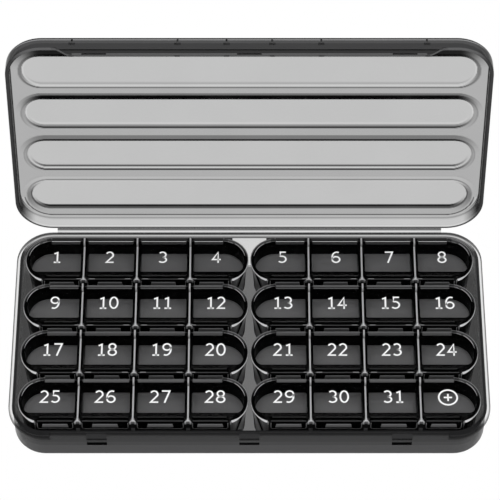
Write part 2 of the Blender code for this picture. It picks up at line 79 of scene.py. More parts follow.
world = bpy.data.worlds.new("white_studio")
world.use_nodes = True
scene.world = world
sky = world.node_tree.nodes
sky_links = world.node_tree.links
sky["Background"].inputs["Color"].default_value = (1, 1, 1, 1)
path, seen = seen_white(sky, sky_links)
level = carry(sky, sky_links, seen, 0.75, 1.0)
dim = carry(sky, sky_links, path.outputs["Is Glossy Ray"], 1.0, 0.12)
both = sky.new("ShaderNodeMath")
both.operation = "MULTIPLY"
sky_links.new(level.outputs["Result"], both.inputs[0])
sky_links.new(dim.outputs["Result"], both.inputs[1])
sky_links.new(both.outputs[0], sky["Background"].inputs["Strength"])

TABLE_REACH = 6
TABLE_TOP = -0.0004
table_mesh = bpy.data.meshes.new("white_table")
corner_signs = ((-1, -1), (1, -1), (1, 1), (-1, 1))
table_corners = [(x * TABLE_REACH, y * TABLE_REACH, TABLE_TOP) for x, y in corner_signs]
table_mesh.from_pydata(table_corners, [], [(0, 1, 2, 3)])
table = bpy.data.objects.new("white_table", table_mesh)
scene.collection.objects.link(table)
table_paint = bpy.data.materials.new("white_table")
table_paint.use_nodes = True
paint = table_paint.node_tree
matt = paint.nodes["Principled BSDF"]
matt.inputs["Base Color"].default_value = (0.86, 0.86, 0.86, 1)
matt.inputs["Roughness"].default_value = 0.6
white = paint.nodes.new("ShaderNodeEmission")
either = paint.nodes.new("ShaderNodeMixShader")
paint.links.new(seen_white(paint.nodes, paint.links)[1], either.inputs["Fac"])
paint.links.new(matt.outputs["BSDF"], either.inputs[1])
paint.links.new(white.outputs["Emission"], either.inputs[2])
paint.links.new(either.outputs["Shader"], paint.nodes["Material Output"].inputs["Surface"])
table_mesh.materials.append(table_paint)


def hang_lamp(name, place, aim, size, power):
    """A square soft lamp at a place, turned towards a point, all in metres and watts."""
    lamp = bpy.data.lights.new(name, "AREA")
    lamp.size = size
    lamp.energy = power
    thing = bpy.data.objects.new(name, lamp)
    thing.location = place
    away = np.subtract(place, aim)
    tilt = math.atan2(math.hypot(away[0], away[1]), away[2])
    thing.rotation_euler = (tilt, 0, math.atan2(away[0], -away[1]))
    scene.collection.objects.link(thing)


hang_lamp("ceiling_softbox", (0.0, 0.1, 1.3), (0, 0, 0), 1.0, 5)
hang_lamp("front_softbox", (0.5, -1.2, 0.7), (0, 0, 0.03), 0.6, 2)

CAMERA_PITCH = 54.681
camera = bpy.data.objects.new("camera", bpy.data.cameras.new("camera"))
camera.data.lens = 199.43
camera.data.sensor_width = 36
camera.data.shift_x = 0.0012
camera.location = (0, -0.710152, 1.088179)
camera.rotation_euler = (math.radians(90 - CAMERA_PITCH), 0, 0)
scene.collection.objects.link(camera)
scene.camera = camera


# Case base: one injection-moulded tray of smoky polystyrene, 1.5 mm thick, with a flange round its mouth, a
# recess at the front for the lid's skirt, and three snap beads, each over a pair of moulding windows.
CASE_HALF_X = 109.5
CASE_HALF_Y = 56.8
CASE_CORNER = 16.6
MOUTH = 20.4
FLANGE_FOOT = 18.2
OVERHANG = 1.9
INNER_WALL = OVERHANG + 1.5
OUTER_ROUND = 4.0
INNER_ROUND = 2.5
RECESS_END = 90.0
WINDOW_LEVELS = (10.1, 12.9, 14.5, 16.65)
CATCH_PLACES = (-69.2, 0.0, 69.2)
CATCH_HALF = 4.55
SOLID = 0.97


def smoke_plastic(name, dark, painted_pale, gloss):
    """Polished smoky plastic. The attribute stop is the share of light a skin keeps back: SOLID where the
    plastic is thick, and in many places raised or lowered to paint dark bands of shade and clear bands of
    highlight. The second attribute is painted light: how far the colour is mixed to pale, a painted glow or
    highlight on edges, ridges and floors. Fine noise gives the skin its moulded grain, faint flow marks and a
    few rubbed patches."""
    material = bpy.data.materials.new(name)
    material.use_nodes = True
    nodes = material.node_tree.nodes
    links = material.node_tree.links
    skin = nodes["Principled BSDF"]
    skin.inputs["IOR"].default_value = 1.55
    skin.inputs["Specular IOR Level"].default_value = gloss
    place = nodes.new("ShaderNodeTexCoord")
    stop = nodes.new("ShaderNodeAttribute")
    stop.attribute_name = "stop"
    painted_light = nodes.new("ShaderNodeAttribute")
    painted_light.attribute_name = "painted_light"
    flow = nodes.new("ShaderNodeTexNoise")
    flow.inputs["Scale"].default_value = 38
    flow.inputs["Detail"].default_value = 4
    links.new(place.outputs["Object"], flow.inputs["Vector"])
    cloud = carry(nodes, links, flow.outputs["Fac"], -0.012, 0.012)
    total = nodes.new("ShaderNodeMath")
    total.use_clamp = True
    links.new(stop.outputs["Fac"], total.inputs[0])
    links.new(cloud.outputs["Result"], total.inputs[1])
    links.new(total.outputs[0], skin.inputs["Alpha"])
    # Painted highlight: the colour runs from the dark plastic to pale as the painted light attribute rises.
    colour = nodes.new("ShaderNodeMix")
    colour.data_type = "RGBA"
    colour.inputs["A"].default_value = (*dark, 1)
    colour.inputs["B"].default_value = (*painted_pale, 1)
    links.new(painted_light.outputs["Fac"], colour.inputs["Factor"])
    links.new(colour.outputs["Result"], skin.inputs["Base Color"])
    grain = nodes.new("ShaderNodeTexNoise")
    grain.inputs["Scale"].default_value = 420
    grain.inputs["Detail"].default_value = 6
    links.new(place.outputs["Object"], grain.inputs["Vector"])
    rubbed = carry(nodes, links, grain.outputs["Fac"], 0.06, 0.2)
    rubbed.inputs["From Min"].default_value = 0.35
    rubbed.inputs["From Max"].default_value = 0.75
    links.new(rubbed.outputs["Result"], skin.inputs["Roughness"])
    peel = nodes.new("ShaderNodeBump")
    peel.inputs["Strength"].default_value = 0.04
    peel.inputs["Distance"].default_value = 0.0002
    links.new(grain.outputs["Fac"], peel.inputs["Height"])
    links.new(peel.outputs["Normal"], skin.inputs["Normal"])
    return material


def path_round(half_x, half_y, radius, marks, steps):
    """Corner centres and outward directions round a rounded rectangle, anticlockwise from the right. A ring
    that lies a distance in from the rim is the centres plus (radius - distance) times the directions. The
    front and back sides get a point at each mark."""
    turn = np.radians(np.linspace(0, 90, steps + 1))
    ahead = np.asarray(marks, float)
    centres, outward = [], []
    for quarter, (side_x, side_y) in enumerate(((1, 1), (-1, 1), (-1, -1), (1, -1))):
        angle = turn + quarter * math.pi / 2
        outward.append(np.stack([np.cos(angle), np.sin(angle)], 1))
        middle = np.array([side_x * (half_x - radius), side_y * (half_y - radius)])
        centres.append(np.tile(middle, (steps + 1, 1)))
        if quarter in (0, 2):
            run = ahead[::-1] if quarter == 0 else ahead
            centres.append(np.stack([run, np.full(len(run), middle[1])], 1))
            outward.append(np.tile([0, side_y], (len(run), 1)))
    return np.concatenate(centres), np.concatenate(outward)


def ring_faces(rows, columns, wrap=True):
    """The quads between neighbouring rows of a grid of points, wrapped round to the first column or not."""
    row = np.arange(rows - 1)[:, None]
    column = np.arange(columns if wrap else columns - 1)[None, :]
    start = row * columns + column
    side = row * columns + (column + 1) % columns
    return np.stack([start, side, side + columns, start + columns], -1)


def lay_skin(name, bodies, material, sharp=35):
    """A mesh from closed shells, each (points in mm, faces, stop, painted light). A tone is one number, one
    for each face, or a table whose values run through the corners of all the faces."""
    points, faces, tones, count = [], [], ([], []), 0
    for spots, sides, *shades in bodies:
        sizes = [len(side) for side in sides]
        for kept, tone in zip(tones, shades):
            tone = np.asarray(tone, float)
            if tone.ndim < 2:
                tone = np.repeat(np.broadcast_to(tone, len(sides)), sizes)
            kept.append(tone.ravel())
        faces += [[corner + count for corner in side] for side in sides]
        points.append(np.asarray(spots, float))
        count += len(spots)
    mesh = bpy.data.meshes.new(name)
    mesh.from_pydata((np.concatenate(points) / 1000).tolist(), [], faces)
    # Two face-corner attributes: stop, the alpha with painted shade in it, and the painted light.
    for label, kept in zip(("stop", "painted_light"), tones):
        values = np.concatenate(kept).astype("f")
        mesh.attributes.new(label, "FLOAT", "CORNER").data.foreach_set("value", values)
    shape = bmesh.new()
    shape.from_mesh(mesh)
    bmesh.ops.remove_doubles(shape, verts=shape.verts, dist=2e-6)
    bmesh.ops.dissolve_degenerate(shape, edges=shape.edges, dist=1e-6)
    bmesh.ops.recalc_face_normals(shape, faces=shape.faces)
    shape.to_mesh(mesh)
    shape.free()
    mesh.shade_smooth()
    mesh.set_sharp_from_angle(angle=math.radians(sharp))
    mesh.materials.append(material)
    return mesh


def place_piece(name, mesh, body, nodes):
    """Puts a mesh in the scene, in place of CAD nodes and riding on their body."""
    piece = bpy.data.objects.new(name, mesh)
    scene.collection.objects.link(piece)
    if body:
        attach(piece, body)
    if nodes:
        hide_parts(*nodes)
    return piece


def stack_rings(centres, outward, radius, inset, height):
    """Rings round a rounded rectangle: row k lies inset[k] in from the rim, at height[k]."""
    flat = centres[None] + (radius - inset)[..., None] * outward[None]
    tall = np.broadcast_to(height[:, None], flat.shape[:2])
    return np.concatenate([flat, tall[..., None]], -1)


def side_shares(outward):
    """How much each point of an outline faces the front, the sides and the back, for mixing their tones."""
    front = np.clip((-outward[:, 1] - 0.55) / 0.3, 0, 1)
    back = np.clip((outward[:, 1] - 0.35) / 0.5, 0, 1)
    return np.stack([front, 1 - front - back, back], 1)


def end_caps(rows, columns):
    """The first and the last of some rings of points, as two faces that close their tube."""
    return [list(range(columns)), list(range((rows - 1) * columns, rows * columns))]


def closed_tube(rows, columns):
    """All the faces of a tube of rings: the quads between neighbouring rings and its two ends."""
    return ring_faces(rows, columns).reshape(-1, 4).tolist() + end_caps(rows, columns)


def block(low, high, ease, stop, painted_light=0.0):
    """A small box with eased edges: four rings of a rounded rectangle, the first and last drawn in."""
    low, high = np.array(low, float), np.array(high, float)
    half, middle = (high - low) / 2, (high + low) / 2
    centres, outward = path_round(half[0], half[1], ease, [], 2)
    inset = np.array([ease, 0, 0, ease])[:, None] * np.ones(len(centres)) * 0.7
    height = np.array([low[2], low[2] + ease, high[2] - ease, high[2]])
    rings = stack_rings(centres, outward, ease, inset, height)
    rings[..., :2] += middle[:2]
    return rings.reshape(-1, 3), closed_tube(4, len(centres)), stop, painted_light


def base_section():
    """The wall's section, from the underside up outside and down inside: underside, bottom round, wall,
    flange, rim, inner wall and inner round. Each step is (inset, inset in the front recess, height), then the
    light its skin keeps back and its painted light at the front, side and back. The sides differ in both: the
    front wall is painted darker and the back clearer, as painted shade, and the front carries painted
    highlights."""
    wall = ((0.95, 0.72, 0.2), (0.12, 0.03, 0.0))
    edge = ((SOLID, 0.75, 0.6), (0.0, 0.02, 0.0))
    inner = ((0.9, 0.8, 0.2), (0.02, 0.05, 0.0))
    rows = []
    for bend in np.radians(np.linspace(0, 90, 7)):
        inset = OVERHANG + OUTER_ROUND * (1 - math.sin(bend))
        rows.append((inset, inset, OUTER_ROUND * (1 - math.cos(bend)), *wall))
    # Painted light on the front wall, paler towards the bottom.
    for height, front_painted_light in zip(WINDOW_LEVELS, (0.085, 0.06, 0.055, 0.045)):
        rows.append((OVERHANG, OVERHANG, height, wall[0], (front_painted_light, 0.03, 0.0)))
    rows.append((OVERHANG, OVERHANG, FLANGE_FOOT, (0.9, 0.14, 0.12), (0.0, 0.0, 0.0)))
    for inset, height in ((0.2, FLANGE_FOOT), (0.0, FLANGE_FOOT + 0.15), (0.0, MOUTH - 0.25)):
        rows.append((inset, OVERHANG, height, *edge))
    rows.append((0.1, 2.0, MOUTH - 0.07, *edge))
    # Painted shade and highlight: the rim is laid out in dark and clear bands, different at front, side and
    # back.
    rim_bands = ((0.3, 2.2, 0.4, 0.75), (0.75, 2.35, 0.1, 0.86), (1.35, 2.5, 0.1, 0.45),
                 (1.55, 2.65, 0.96, 0.42), (2.5, 2.8, 0.93, 0.86))
    for inset, recessed, side, back in rim_bands:
        rows.append((inset, recessed, MOUTH, (0.93, side, back), (0.02, 0, 0)))
    rows.append((2.9, 3.0, MOUTH, (0.93, 0.85, 0.82), (0.02, 0.03, 0)))
    rows.append((3.2, 3.2, MOUTH, (0.95, 0.85, 0.8), (0.02, 0.03, 0)))
    rows.append((3.35, 3.35, MOUTH - 0.07, (0.95, 0.85, 0.8), (0.02, 0.03, 0)))
    for height in (MOUTH - 0.25, FLANGE_FOOT, *WINDOW_LEVELS[::-1]):
        rows.append((INNER_WALL, INNER_WALL, height, *inner))
    for bend in np.radians(np.linspace(0, 90, 7)):
        inset = INNER_WALL + INNER_ROUND * (1 - math.cos(bend))
        rows.append((inset, inset, OUTER_ROUND - INNER_ROUND * math.sin(bend), *inner))
    return rows


def base_tub():
    """The section carried round the mouth. Each catch has two windows under it, with a bar between: there the
    wall's outer and inner quads are left out and joined. The underside and the floor lie in five strips, and
    the nearer they are to the middle gap, the clearer they are painted: painted light, for the light that
    comes up between the trays. Rows are counted along the section."""
    edges = [place + side for place in CATCH_PLACES for side in (-CATCH_HALF, CATCH_HALF)]
    near, far = 8, 30
    stations = (RECESS_END + 2, RECESS_END + 0.2, RECESS_END, far, near)
    sides = [half * side for half in stations for side in (-1, 1)]
    centres, outward = path_round(CASE_HALF_X, CASE_HALF_Y, CASE_CORNER, np.unique(sides + edges), 12)
    recess = (outward[:, 1] < -0.99) & (np.abs(centres[:, 0]) < RECESS_END + 0.1)
    rows = base_section()
    section = np.array([row[:3] for row in rows])
    tones = np.array([row[3:] for row in rows])
    inset = np.where(recess, section[:, 1:2], section[:, :1])
    rings = stack_rings(centres, outward, CASE_CORNER, inset, section[:, 2])
    count = len(centres)
    quads = ring_faces(len(rows), count)
    between = outward + np.roll(outward, -1, 0)
    shares = side_shares(between / np.linalg.norm(between, axis=1)[:, None])
    stop, painted_light = (tones[:-1, part] @ shares.T for part in (0, 1))
    along = (centres[:, 0] + np.roll(centres[:, 0], -1)) / 2
    # Painted shade: behind the trays the inner wall's top rows are made opaque and dark, for the shaded gap
    # between tray and wall.
    inner_top = slice(23, 26)
    shaded_gap_behind_trays = (between[:, 1] > 0.5) & (np.abs(along) > near)
    stop[inner_top, shaded_gap_behind_trays] = SOLID
    lower_window, bar, upper_window = (7, 28), 8, (9, 26)
    # Painted shadow: at the front corners, outside the recess, a wall row below the flange is made opaque and
    # dark.
    corner = (between[:, 1] < -0.2) & ~(recess & np.roll(recess, -1))
    stop[upper_window[0], corner] = SOLID
    painted_light[upper_window[0], corner] = 0.01
    keep = np.ones(quads.shape[:2], bool)
    extra = []
    front = (outward[:, 1] < -0.99) & (np.roll(outward[:, 1], -1) < -0.99)
    # Painted highlight on the bar between each catch's two windows.
    for place in CATCH_PLACES:
        column = int(np.flatnonzero(front & (np.abs(along - place) < 0.1))[0])
        painted_light[bar, column] = 0.035
        for outer, within in (lower_window, upper_window):
            keep[outer, column] = keep[within, column] = False
            low, high = outer * count + column, (outer + 1) * count + column
            deep_high, deep_low = within * count + column, (within + 1) * count + column
            extra += [[low, low + 1, deep_low + 1, deep_low],
                      [high, high + 1, deep_high + 1, deep_high],
                      [low, high, deep_high, deep_low],
                      [low + 1, high + 1, deep_high + 1, deep_low + 1]]
    faces = quads[keep].tolist() + extra
    stops = np.repeat(np.concatenate([stop[keep], np.full(len(extra), SOLID)]), 4)
    # Painted highlight on each upper window's sill.
    sill_painted_light = np.tile([0, 0, 0, 0, 0.02, 0, 0, 0], len(CATCH_PLACES))
    lights = np.repeat(np.concatenate([painted_light[keep], sill_painted_light]), 4)
    x = centres[:, 0]
    # Painted light: the floor strips are clearer near the middle gap.
    strips = (-CASE_HALF_X, -far, -near, near, far, CASE_HALF_X)
    for low, high in zip(strips, strips[1:]):
        part = np.flatnonzero((x > low - 0.1) & (x < high + 0.1))
        faces += [part.tolist(), (part + (len(rows) - 1) * count).tolist()]
        stops = np.concatenate([stops, np.tile(np.interp(np.abs(x[part]), [near, far], [0.6, 0.73]), 2)])
        lights = np.concatenate([lights, np.zeros(2 * len(part))])
    return rings.reshape(-1, 3), faces, stops[None], lights[None]


def snap_catch(place):
    """A wedge on the front wall: a level foot, an upright lip and a long slope back to the wall."""
    side = [(-54.8, 17.2), (-56.2, 17.2), (-56.2, 18.0), (-54.9, 20.1), (-54.8, 20.1)]
    spots = [(place + x, y, z) for x in (-CATCH_HALF, CATCH_HALF) for y, z in side]
    # Painted highlight on the lip and the slope.
    lip_painted_light, slope_painted_light = 0.04, 0.03
    return spots, closed_tube(2, len(side)), 0.95, [0, 0, lip_painted_light, slope_painted_light, 0, 0, 0]


case_smoke = smoke_plastic("smoke_case", (0.004, 0.004, 0.0045), (0.6, 0.6, 0.61), 0.12)
base_shells = [base_tub()] + [snap_catch(place) for place in CATCH_PLACES]
base_mesh = lay_skin("case_base_shell", base_shells, case_smoke)
place_piece("case_base_shell", base_mesh, "base", ["base_shell"])


# Case lid: one clear sheet-like moulding with four long raised fields over the tray rows, a rounded rim and,
# at the front, a skirt with three snap grooves, and six little ribs that centre it on the base. It is drawn
# shut and then turned open about the hinge line along the case's back.
HINGE_Y = 57.8
HINGE_Z = 20.55
OPEN_ANGLE = 99.35
LID_HALF_X = 110.0
LID_HALF_Y = 56.8
LID_CORNER = 17.1
STRAIGHT_X = LID_HALF_X - LID_CORNER
STRAIGHT_Y = LID_HALF_Y - LID_CORNER
LID_MIDDLE = HINGE_Y - 1.15 - LID_HALF_Y
LID_FRONT = LID_MIDDLE - LID_HALF_Y
LID_RIM = HINGE_Z + 0.15
LID_TOP = HINGE_Z + 7.15
LID_WALL = 1.8
ROW_PLACES = (40.0, 14.0, -12.0, -38.0)
FIELD_HALF = 94.4
FIELD_RISE = 1.2
OUTER_STOP = 0.05
GROOVE_HALF = CATCH_HALF + 0.9
RIB_PLACES = (-79.3, -32.1, -10.2, 10.2, 32.1, 79.3)


def field_depth(x, y, fields):
    """How far the panel bulges outward: for each field, a smooth step between its outer contour and the
    inner one. Both contours are lines of equal distance from a straight segment."""
    rise = np.zeros(np.broadcast(x, y).shape)
    for middle in fields:
        outer = np.hypot(np.maximum(np.abs(x) - FIELD_HALF, 0), y - middle) - 10.4
        inner = np.hypot(np.maximum(np.abs(x) - FIELD_HALF - 1.55, 0), y - middle) - 6.85
        share = np.clip(-outer / np.maximum(inner - outer, 1e-6), 0, 1)
        rise = np.maximum(rise, share * share * (3 - 2 * share))
    return FIELD_RISE * rise


def field_stop(x, y, fields):
    """The light a panel skin keeps back. Round each field run three bands of painted shade and painted
    highlight, dark and clear, for light bent at the field's slopes. They are given for its back, end and
    front sides as four distances from the field's centre line and the clearness between them; the sides are
    mixed by the squares of the direction away from that line. A dark band is painted along the hinge side.
    The outer skin keeps back OUTER_STOP, the inner the rest."""
    # Painted shade and painted highlight bands round each field.
    bands = ((((6.84, 7.96, 8.38, 8.82), (0.0, 0.12, 0.02)),
              ((8.0, 8.5, 10.1, 10.6), (0.01, 0.2, 0.27)),
              ((10.04, 10.72, 12.54, 13.72), (0.2, 0.48, 0.4))),
             (((6.95, 8.0, 8.75, 9.55), (0.09, 0.6, 0.03)),
              ((8.8, 9.3, 10.1, 10.6), (0.27, 0.34, 0.28)),
              ((8.7, 10.3, 12.76, 13.26), (0.0, 0.19, 0.38))),
             (((6.18, 7.32, 8.2, 9.06), (0.6, 0.29, 0.03)),
              ((7.8, 8.3, 9.9, 10.5), (0.66, 0.34, 0.27)),
              ((8.52, 9.5, 11.56, 12.92), (0.0, 0.0, 0.16))),
             (((7.34, 8.24, 9.4, 10.06), (0.41, 0.6, 0.08)),
              ((7.75, 8.6, 10.2, 10.6), (0.6, 0.2, 0.35)),
              ((8.3, 9.5, 14.0, 16.5), (0.0, 0.0, 0.0))))
    field_clear, flat_clear = 0.53, 0.42
    blur = np.array([-0.12, 0.12, -0.1, 0.12, -0.12, 0.12, -0.12, 0.12])
    away = np.stack([np.hypot(np.maximum(np.abs(x) - FIELD_HALF, 0), y - middle) for middle in fields])
    nearest = np.argmin(away, 0)
    clear = np.zeros(x.shape)
    for place, (middle, sides) in enumerate(zip(fields, bands)):
        distance = away[place]
        lean = (y - middle) / np.maximum(distance, 1e-6)
        shares = (np.maximum(lean, 0) ** 2, 1 - lean ** 2, np.maximum(-lean, 0) ** 2)
        total = 0
        for share, (borders, levels) in zip(shares, sides):
            steps = np.repeat(borders, 2) + blur
            tones = [field_clear, *np.repeat(levels, 2), flat_clear]
            total = total + share * np.interp(distance, steps, tones)
        clear = np.where(nearest == place, total, clear)
    # Painted shade: a dark band along the hinge side, 3.8 to 4.25 mm in from the rounded edge.
    edge = LID_CORNER - np.hypot(np.maximum(np.abs(x) - STRAIGHT_X, 0), np.maximum(y - STRAIGHT_Y, 0))
    hinge_side_band = np.interp(edge, [3.4, 3.65, 3.8, 4.25, 4.45], [0.49, 0.46, 0.08, 0.08, flat_clear])
    clear = np.where((y > 41) & (edge < 4.45), hinge_side_band, clear)
    return 1 - np.clip(clear / (1 - OUTER_STOP), 0, 1)


def panel_grid():
    """Places of the panel's points about the lid's middle. Its rows run along the lid, each as long as the
    rounded outline leaves room, and its points crowd towards both ends."""
    inset, pitch, ends_from = 2.0, 0.4, 0.86
    reach = LID_CORNER - inset
    arcs = STRAIGHT_Y + reach * np.sin(np.radians(np.linspace(0, 90, 19)))
    rows_y = np.arange(-STRAIGHT_Y, STRAIGHT_Y + 0.01, pitch)
    beside = np.arange(STRAIGHT_Y + pitch, LID_HALF_Y - inset - 1.2, pitch)
    rows_y = np.unique(np.round(np.concatenate([rows_y, beside, -beside, arcs[-6:], -arcs[-6:]]), 3))
    beyond = np.maximum(np.abs(rows_y) - STRAIGHT_Y, 0)
    width = STRAIGHT_X + np.sqrt(np.maximum(reach ** 2 - beyond ** 2, 0))
    fine = np.linspace(ends_from, 1.0, 38)
    share = np.concatenate([-fine[::-1], np.linspace(-ends_from, ends_from, 13)[1:-1], fine])
    grid_x = width[:, None] * share[None]
    return grid_x, np.broadcast_to(rows_y[:, None], grid_x.shape)


def rim_section():
    """The rim's section from the panel's edge out, down the wall, round the rim and up again inside. Each
    step is (inset, height), then the light its skin keeps back and its painted light at the front, side and
    back. The sides differ to paint shade and highlight: the back is mostly clearer, and the front carries
    painted highlights."""
    rim, top = LID_RIM, LID_TOP
    return [(0.8, top, (0.9, SOLID, 0.3), (0, 0, 0)),
            (0.5, top - 0.06, (SOLID, SOLID, 0.3), (0.03, 0, 0)),
            (0.23, top - 0.23, (SOLID, SOLID, 0.3), (0.03, 0, 0)),
            (0.06, top - 0.5, (SOLID, SOLID, 0.1), (0, 0, 0)),
            (0.0, top - 1.3, (SOLID, SOLID, 0.05), (0.38, 0, 0)),
            (0.0, top - 2.05, (SOLID, SOLID, 0.05), (0.085, 0, 0)),
            (0.0, rim + 0.5, (SOLID, SOLID, 0.85), (0.085, 0, 0)),
            (0.1, rim + 0.08, (SOLID, SOLID, 0.9), (0.2, 0.03, 0)),
            (0.3, rim, (SOLID, 0.95, 0.9), (0.21, 0.07, 0)),
            (1.1, rim, (SOLID, 0.95, 0.3), (0.21, 0.07, 0)),
            (1.5, rim, (SOLID, SOLID, 0.3), (0.21, 0.04, 0)),
            (1.7, rim + 0.08, (SOLID, SOLID, 0.35), (0, 0, 0)),
            (LID_WALL, rim + 0.3, (SOLID, SOLID, 0.4), (0, 0, 0)),
            (LID_WALL, top - 2.5, (SOLID, SOLID, 0.45), (0, 0, 0)),
            (LID_WALL, top - 2.0, (SOLID, SOLID, 0.45), (0, 0, 0)),
            (1.86, top - 1.86, (SOLID, SOLID, 0.5), (0, 0, 0))]


def lid_panel():
    """Panel and rim as one shell: an outer and an inner skin on the panel's grid, and the rim's section
    carried round their shared outline, outward from each point's corner centre, and joined to both."""
    fields = np.array(ROW_PLACES) - LID_MIDDLE
    grid_x, grid_y = panel_grid()
    bulge = field_depth(grid_x, grid_y, fields)
    rows, columns = grid_x.shape
    outside = np.stack([grid_x, grid_y + LID_MIDDLE, LID_TOP + bulge], -1)
    inside = np.stack([grid_x, grid_y + LID_MIDDLE, LID_TOP - LID_WALL + bulge], -1)
    first = np.arange(columns)
    right = np.arange(1, rows) * columns + columns - 1
    last = (rows - 1) * columns + np.arange(columns - 2, -1, -1)
    left = np.arange(rows - 2, 0, -1) * columns
    loop = np.concatenate([first, right, last, left])
    edge = outside.reshape(-1, 3)[loop]
    centre = np.stack([np.clip(edge[:, 0], -STRAIGHT_X, STRAIGHT_X),
                       np.clip(edge[:, 1] - LID_MIDDLE, -STRAIGHT_Y, STRAIGHT_Y) + LID_MIDDLE], 1)
    gap = edge[:, :2] - centre
    outward = gap / np.maximum(np.linalg.norm(gap, axis=1), 1e-9)[:, None]
    steps = rim_section()
    section = np.array([step[:2] for step in steps])
    tones = np.array([step[2:] for step in steps])
    inset = np.repeat(section[:, :1], len(loop), 1)
    rings = stack_rings(centre, outward, LID_CORNER, inset, section[:, 1])
    points = np.concatenate([outside.reshape(-1, 3), inside.reshape(-1, 3), rings.reshape(-1, 3)])
    base = 2 * rows * columns
    panel = ring_faces(rows, columns, False).reshape(-1, 4)
    wrap = ring_faces(len(section), len(loop)) + base
    start = base + np.arange(len(loop))
    to_out = np.stack([loop, np.roll(loop, -1), np.roll(start, -1), start], -1)
    end = base + (len(section) - 1) * len(loop) + np.arange(len(loop))
    deep = loop + rows * columns
    to_in = np.stack([end, np.roll(end, -1), np.roll(deep, -1), deep], -1)
    between = outward + np.roll(outward, -1, 0)
    shares = side_shares(between / np.linalg.norm(between, axis=1)[:, None])
    # Painted shade and highlight: the rim's stops and painted light are mixed from its front, side and back
    # values.
    rim_stop, rim_painted_light = (tones[:-1, part] @ shares.T for part in (0, 1))
    clear = field_stop(grid_x, grid_y, fields).reshape(-1)
    skins = np.concatenate([np.full(clear.shape, OUTER_STOP), clear])
    skin_stop = skins[np.concatenate([panel, panel + rows * columns])]
    seams = (shares @ [OUTER_STOP, 0.8, OUTER_STOP], shares @ [0.9, 0.95, 0.6])
    side_stop = np.concatenate([rim_stop.ravel(), *seams])
    side_painted_light = np.concatenate([rim_painted_light.ravel(), np.zeros(2 * len(loop))])
    faces = np.concatenate([panel, panel + rows * columns, wrap.reshape(-1, 4), to_out, to_in]).tolist()
    stop = np.concatenate([skin_stop, np.repeat(side_stop[:, None], 4, 1)])
    painted_light = np.concatenate([np.zeros(skin_stop.shape), np.repeat(side_painted_light[:, None], 4, 1)])
    return points, faces, stop, painted_light


def lid_skirt():
    """The skirt hangs from the rim's front. Its ends step in along half a cosine wave. A grid on its face is
    repeated on its back. The three grooves are cut into the back: their floors lie between the two, and
    walls join them to it."""
    drop = np.array([0.6, 0, -0.1, -0.4, -0.9, -1.4, -2.0, -2.4, -2.9, -3.4, -3.8, -4.3, -4.6, -4.75, -4.8])
    ends = 88.5 - 9.5 * np.arccos(np.clip(1 + drop / 2.4, -1, 1)) / math.pi
    cuts = [place + side for place in CATCH_PLACES for side in (-GROOVE_HALF, GROOVE_HALF)]
    across = np.column_stack([-ends, np.tile(cuts, (len(drop), 1)), ends])
    rows, columns = across.shape
    count = across.size
    height = np.broadcast_to(LID_RIM + drop[:, None], across.shape)
    flat = np.stack([across, np.full(across.shape, LID_FRONT), height], -1).reshape(-1, 3)
    face_depth, back_depth, floor_depth = 0.08, 1.1, 0.45
    spots = np.concatenate([flat + [0, depth, 0] for depth in (face_depth, back_depth, floor_depth)])
    cells = ring_faces(rows, columns, False)
    back, deep, groove = cells + count, cells + 2 * count, np.zeros(cells.shape[:2], bool)
    groove[6:10, 1::2] = True
    right = np.arange(1, rows) * columns + columns - 1
    foot = count - 2 - np.arange(columns - 1)
    left = np.arange(rows - 2, 0, -1) * columns
    loop = np.concatenate([np.arange(columns), right, foot, left])
    border = np.stack([loop, np.roll(loop, -1), np.roll(loop, -1) + count, loop + count], -1)
    walls = []
    for corner, (shift, axis) in enumerate(((1, 0), (-1, 1), (-1, 0), (1, 1))):
        side = groove & ~np.roll(groove, shift, axis)
        after = (corner + 1) % 4
        walls.append(np.stack([back[side][:, corner], back[side][:, after],
                               deep[side][:, after], deep[side][:, corner]], -1))
    parts = (cells.reshape(-1, 4), back[~groove], deep[groove], np.concatenate(walls), border)
    # Painted highlight: the skirt's face and its edge faces glow pale, the grooves faintly.
    painted_glow = np.repeat([0.055, 0.02, 0.02, 0.02, 0.17], [len(part) for part in parts])
    return spots, np.concatenate(parts).tolist(), SOLID, painted_glow


def lid_marks():
    """The ribs, and thin blocks that paint dark lines and pale lines and spots on the lid's front, as painted
    shade and painted highlight where the skirt, the ribs and the grooves show. Each is given as half its
    length, how far its faces lie behind the front, its lowest and highest level and its easing, then the
    light its skin keeps back and its painted light."""
    rim, top = LID_RIM, LID_TOP
    lines = [(86, 0, 0.2, rim - 1.2, rim + 0.2, 0.03, SOLID, 0.085),
             (84.4, 0, 0.2, rim - 1.75, rim - 1.15, 0.03, SOLID, 0.0),
             (79, 0.05, 0.3, rim - 4.75, rim - 3.7, 0.03, SOLID, 0.17)]
    ribs = [(0.4, 1.1, 1.7, rim - 4.4, rim + 0.2, 0.1, 0.5, 0.0),
            (0.4, 1.8, 2.4, rim + 0.1, top - 3.3, 0.1, 0.2, 0.0),
            (0.4, 1.8, 2.4, top - 3.3, top - 1.7, 0.1, SOLID, 0.0),
            (0.45, 0, 0.2, top - 2.8, top - 0.9, 0.05, SOLID, 0.0),
            (1.5, 0, 0.15, top - 5.4, top - 3.6, 0.05, SOLID, 0.065),
            (1.2, 0.5, 1.0, rim - 5.25, rim - 4.7, 0.2, 0.8, 0.1)]
    grooves = [(GROOVE_HALF, 0, 0.3, rim - 4.7, rim - 3.8, 0.04, SOLID, 0.012)]
    shells = []
    for places, marks in (((0,), lines), (RIB_PLACES, ribs), (CATCH_PLACES, grooves)):
        for place in places:
            for half, near, far, low, high, *finish in marks:
                corner = (place - half, LID_FRONT + near, low)
                opposite = (place + half, LID_FRONT + far, high)
                shells.append(block(corner, opposite, *finish))
    return shells


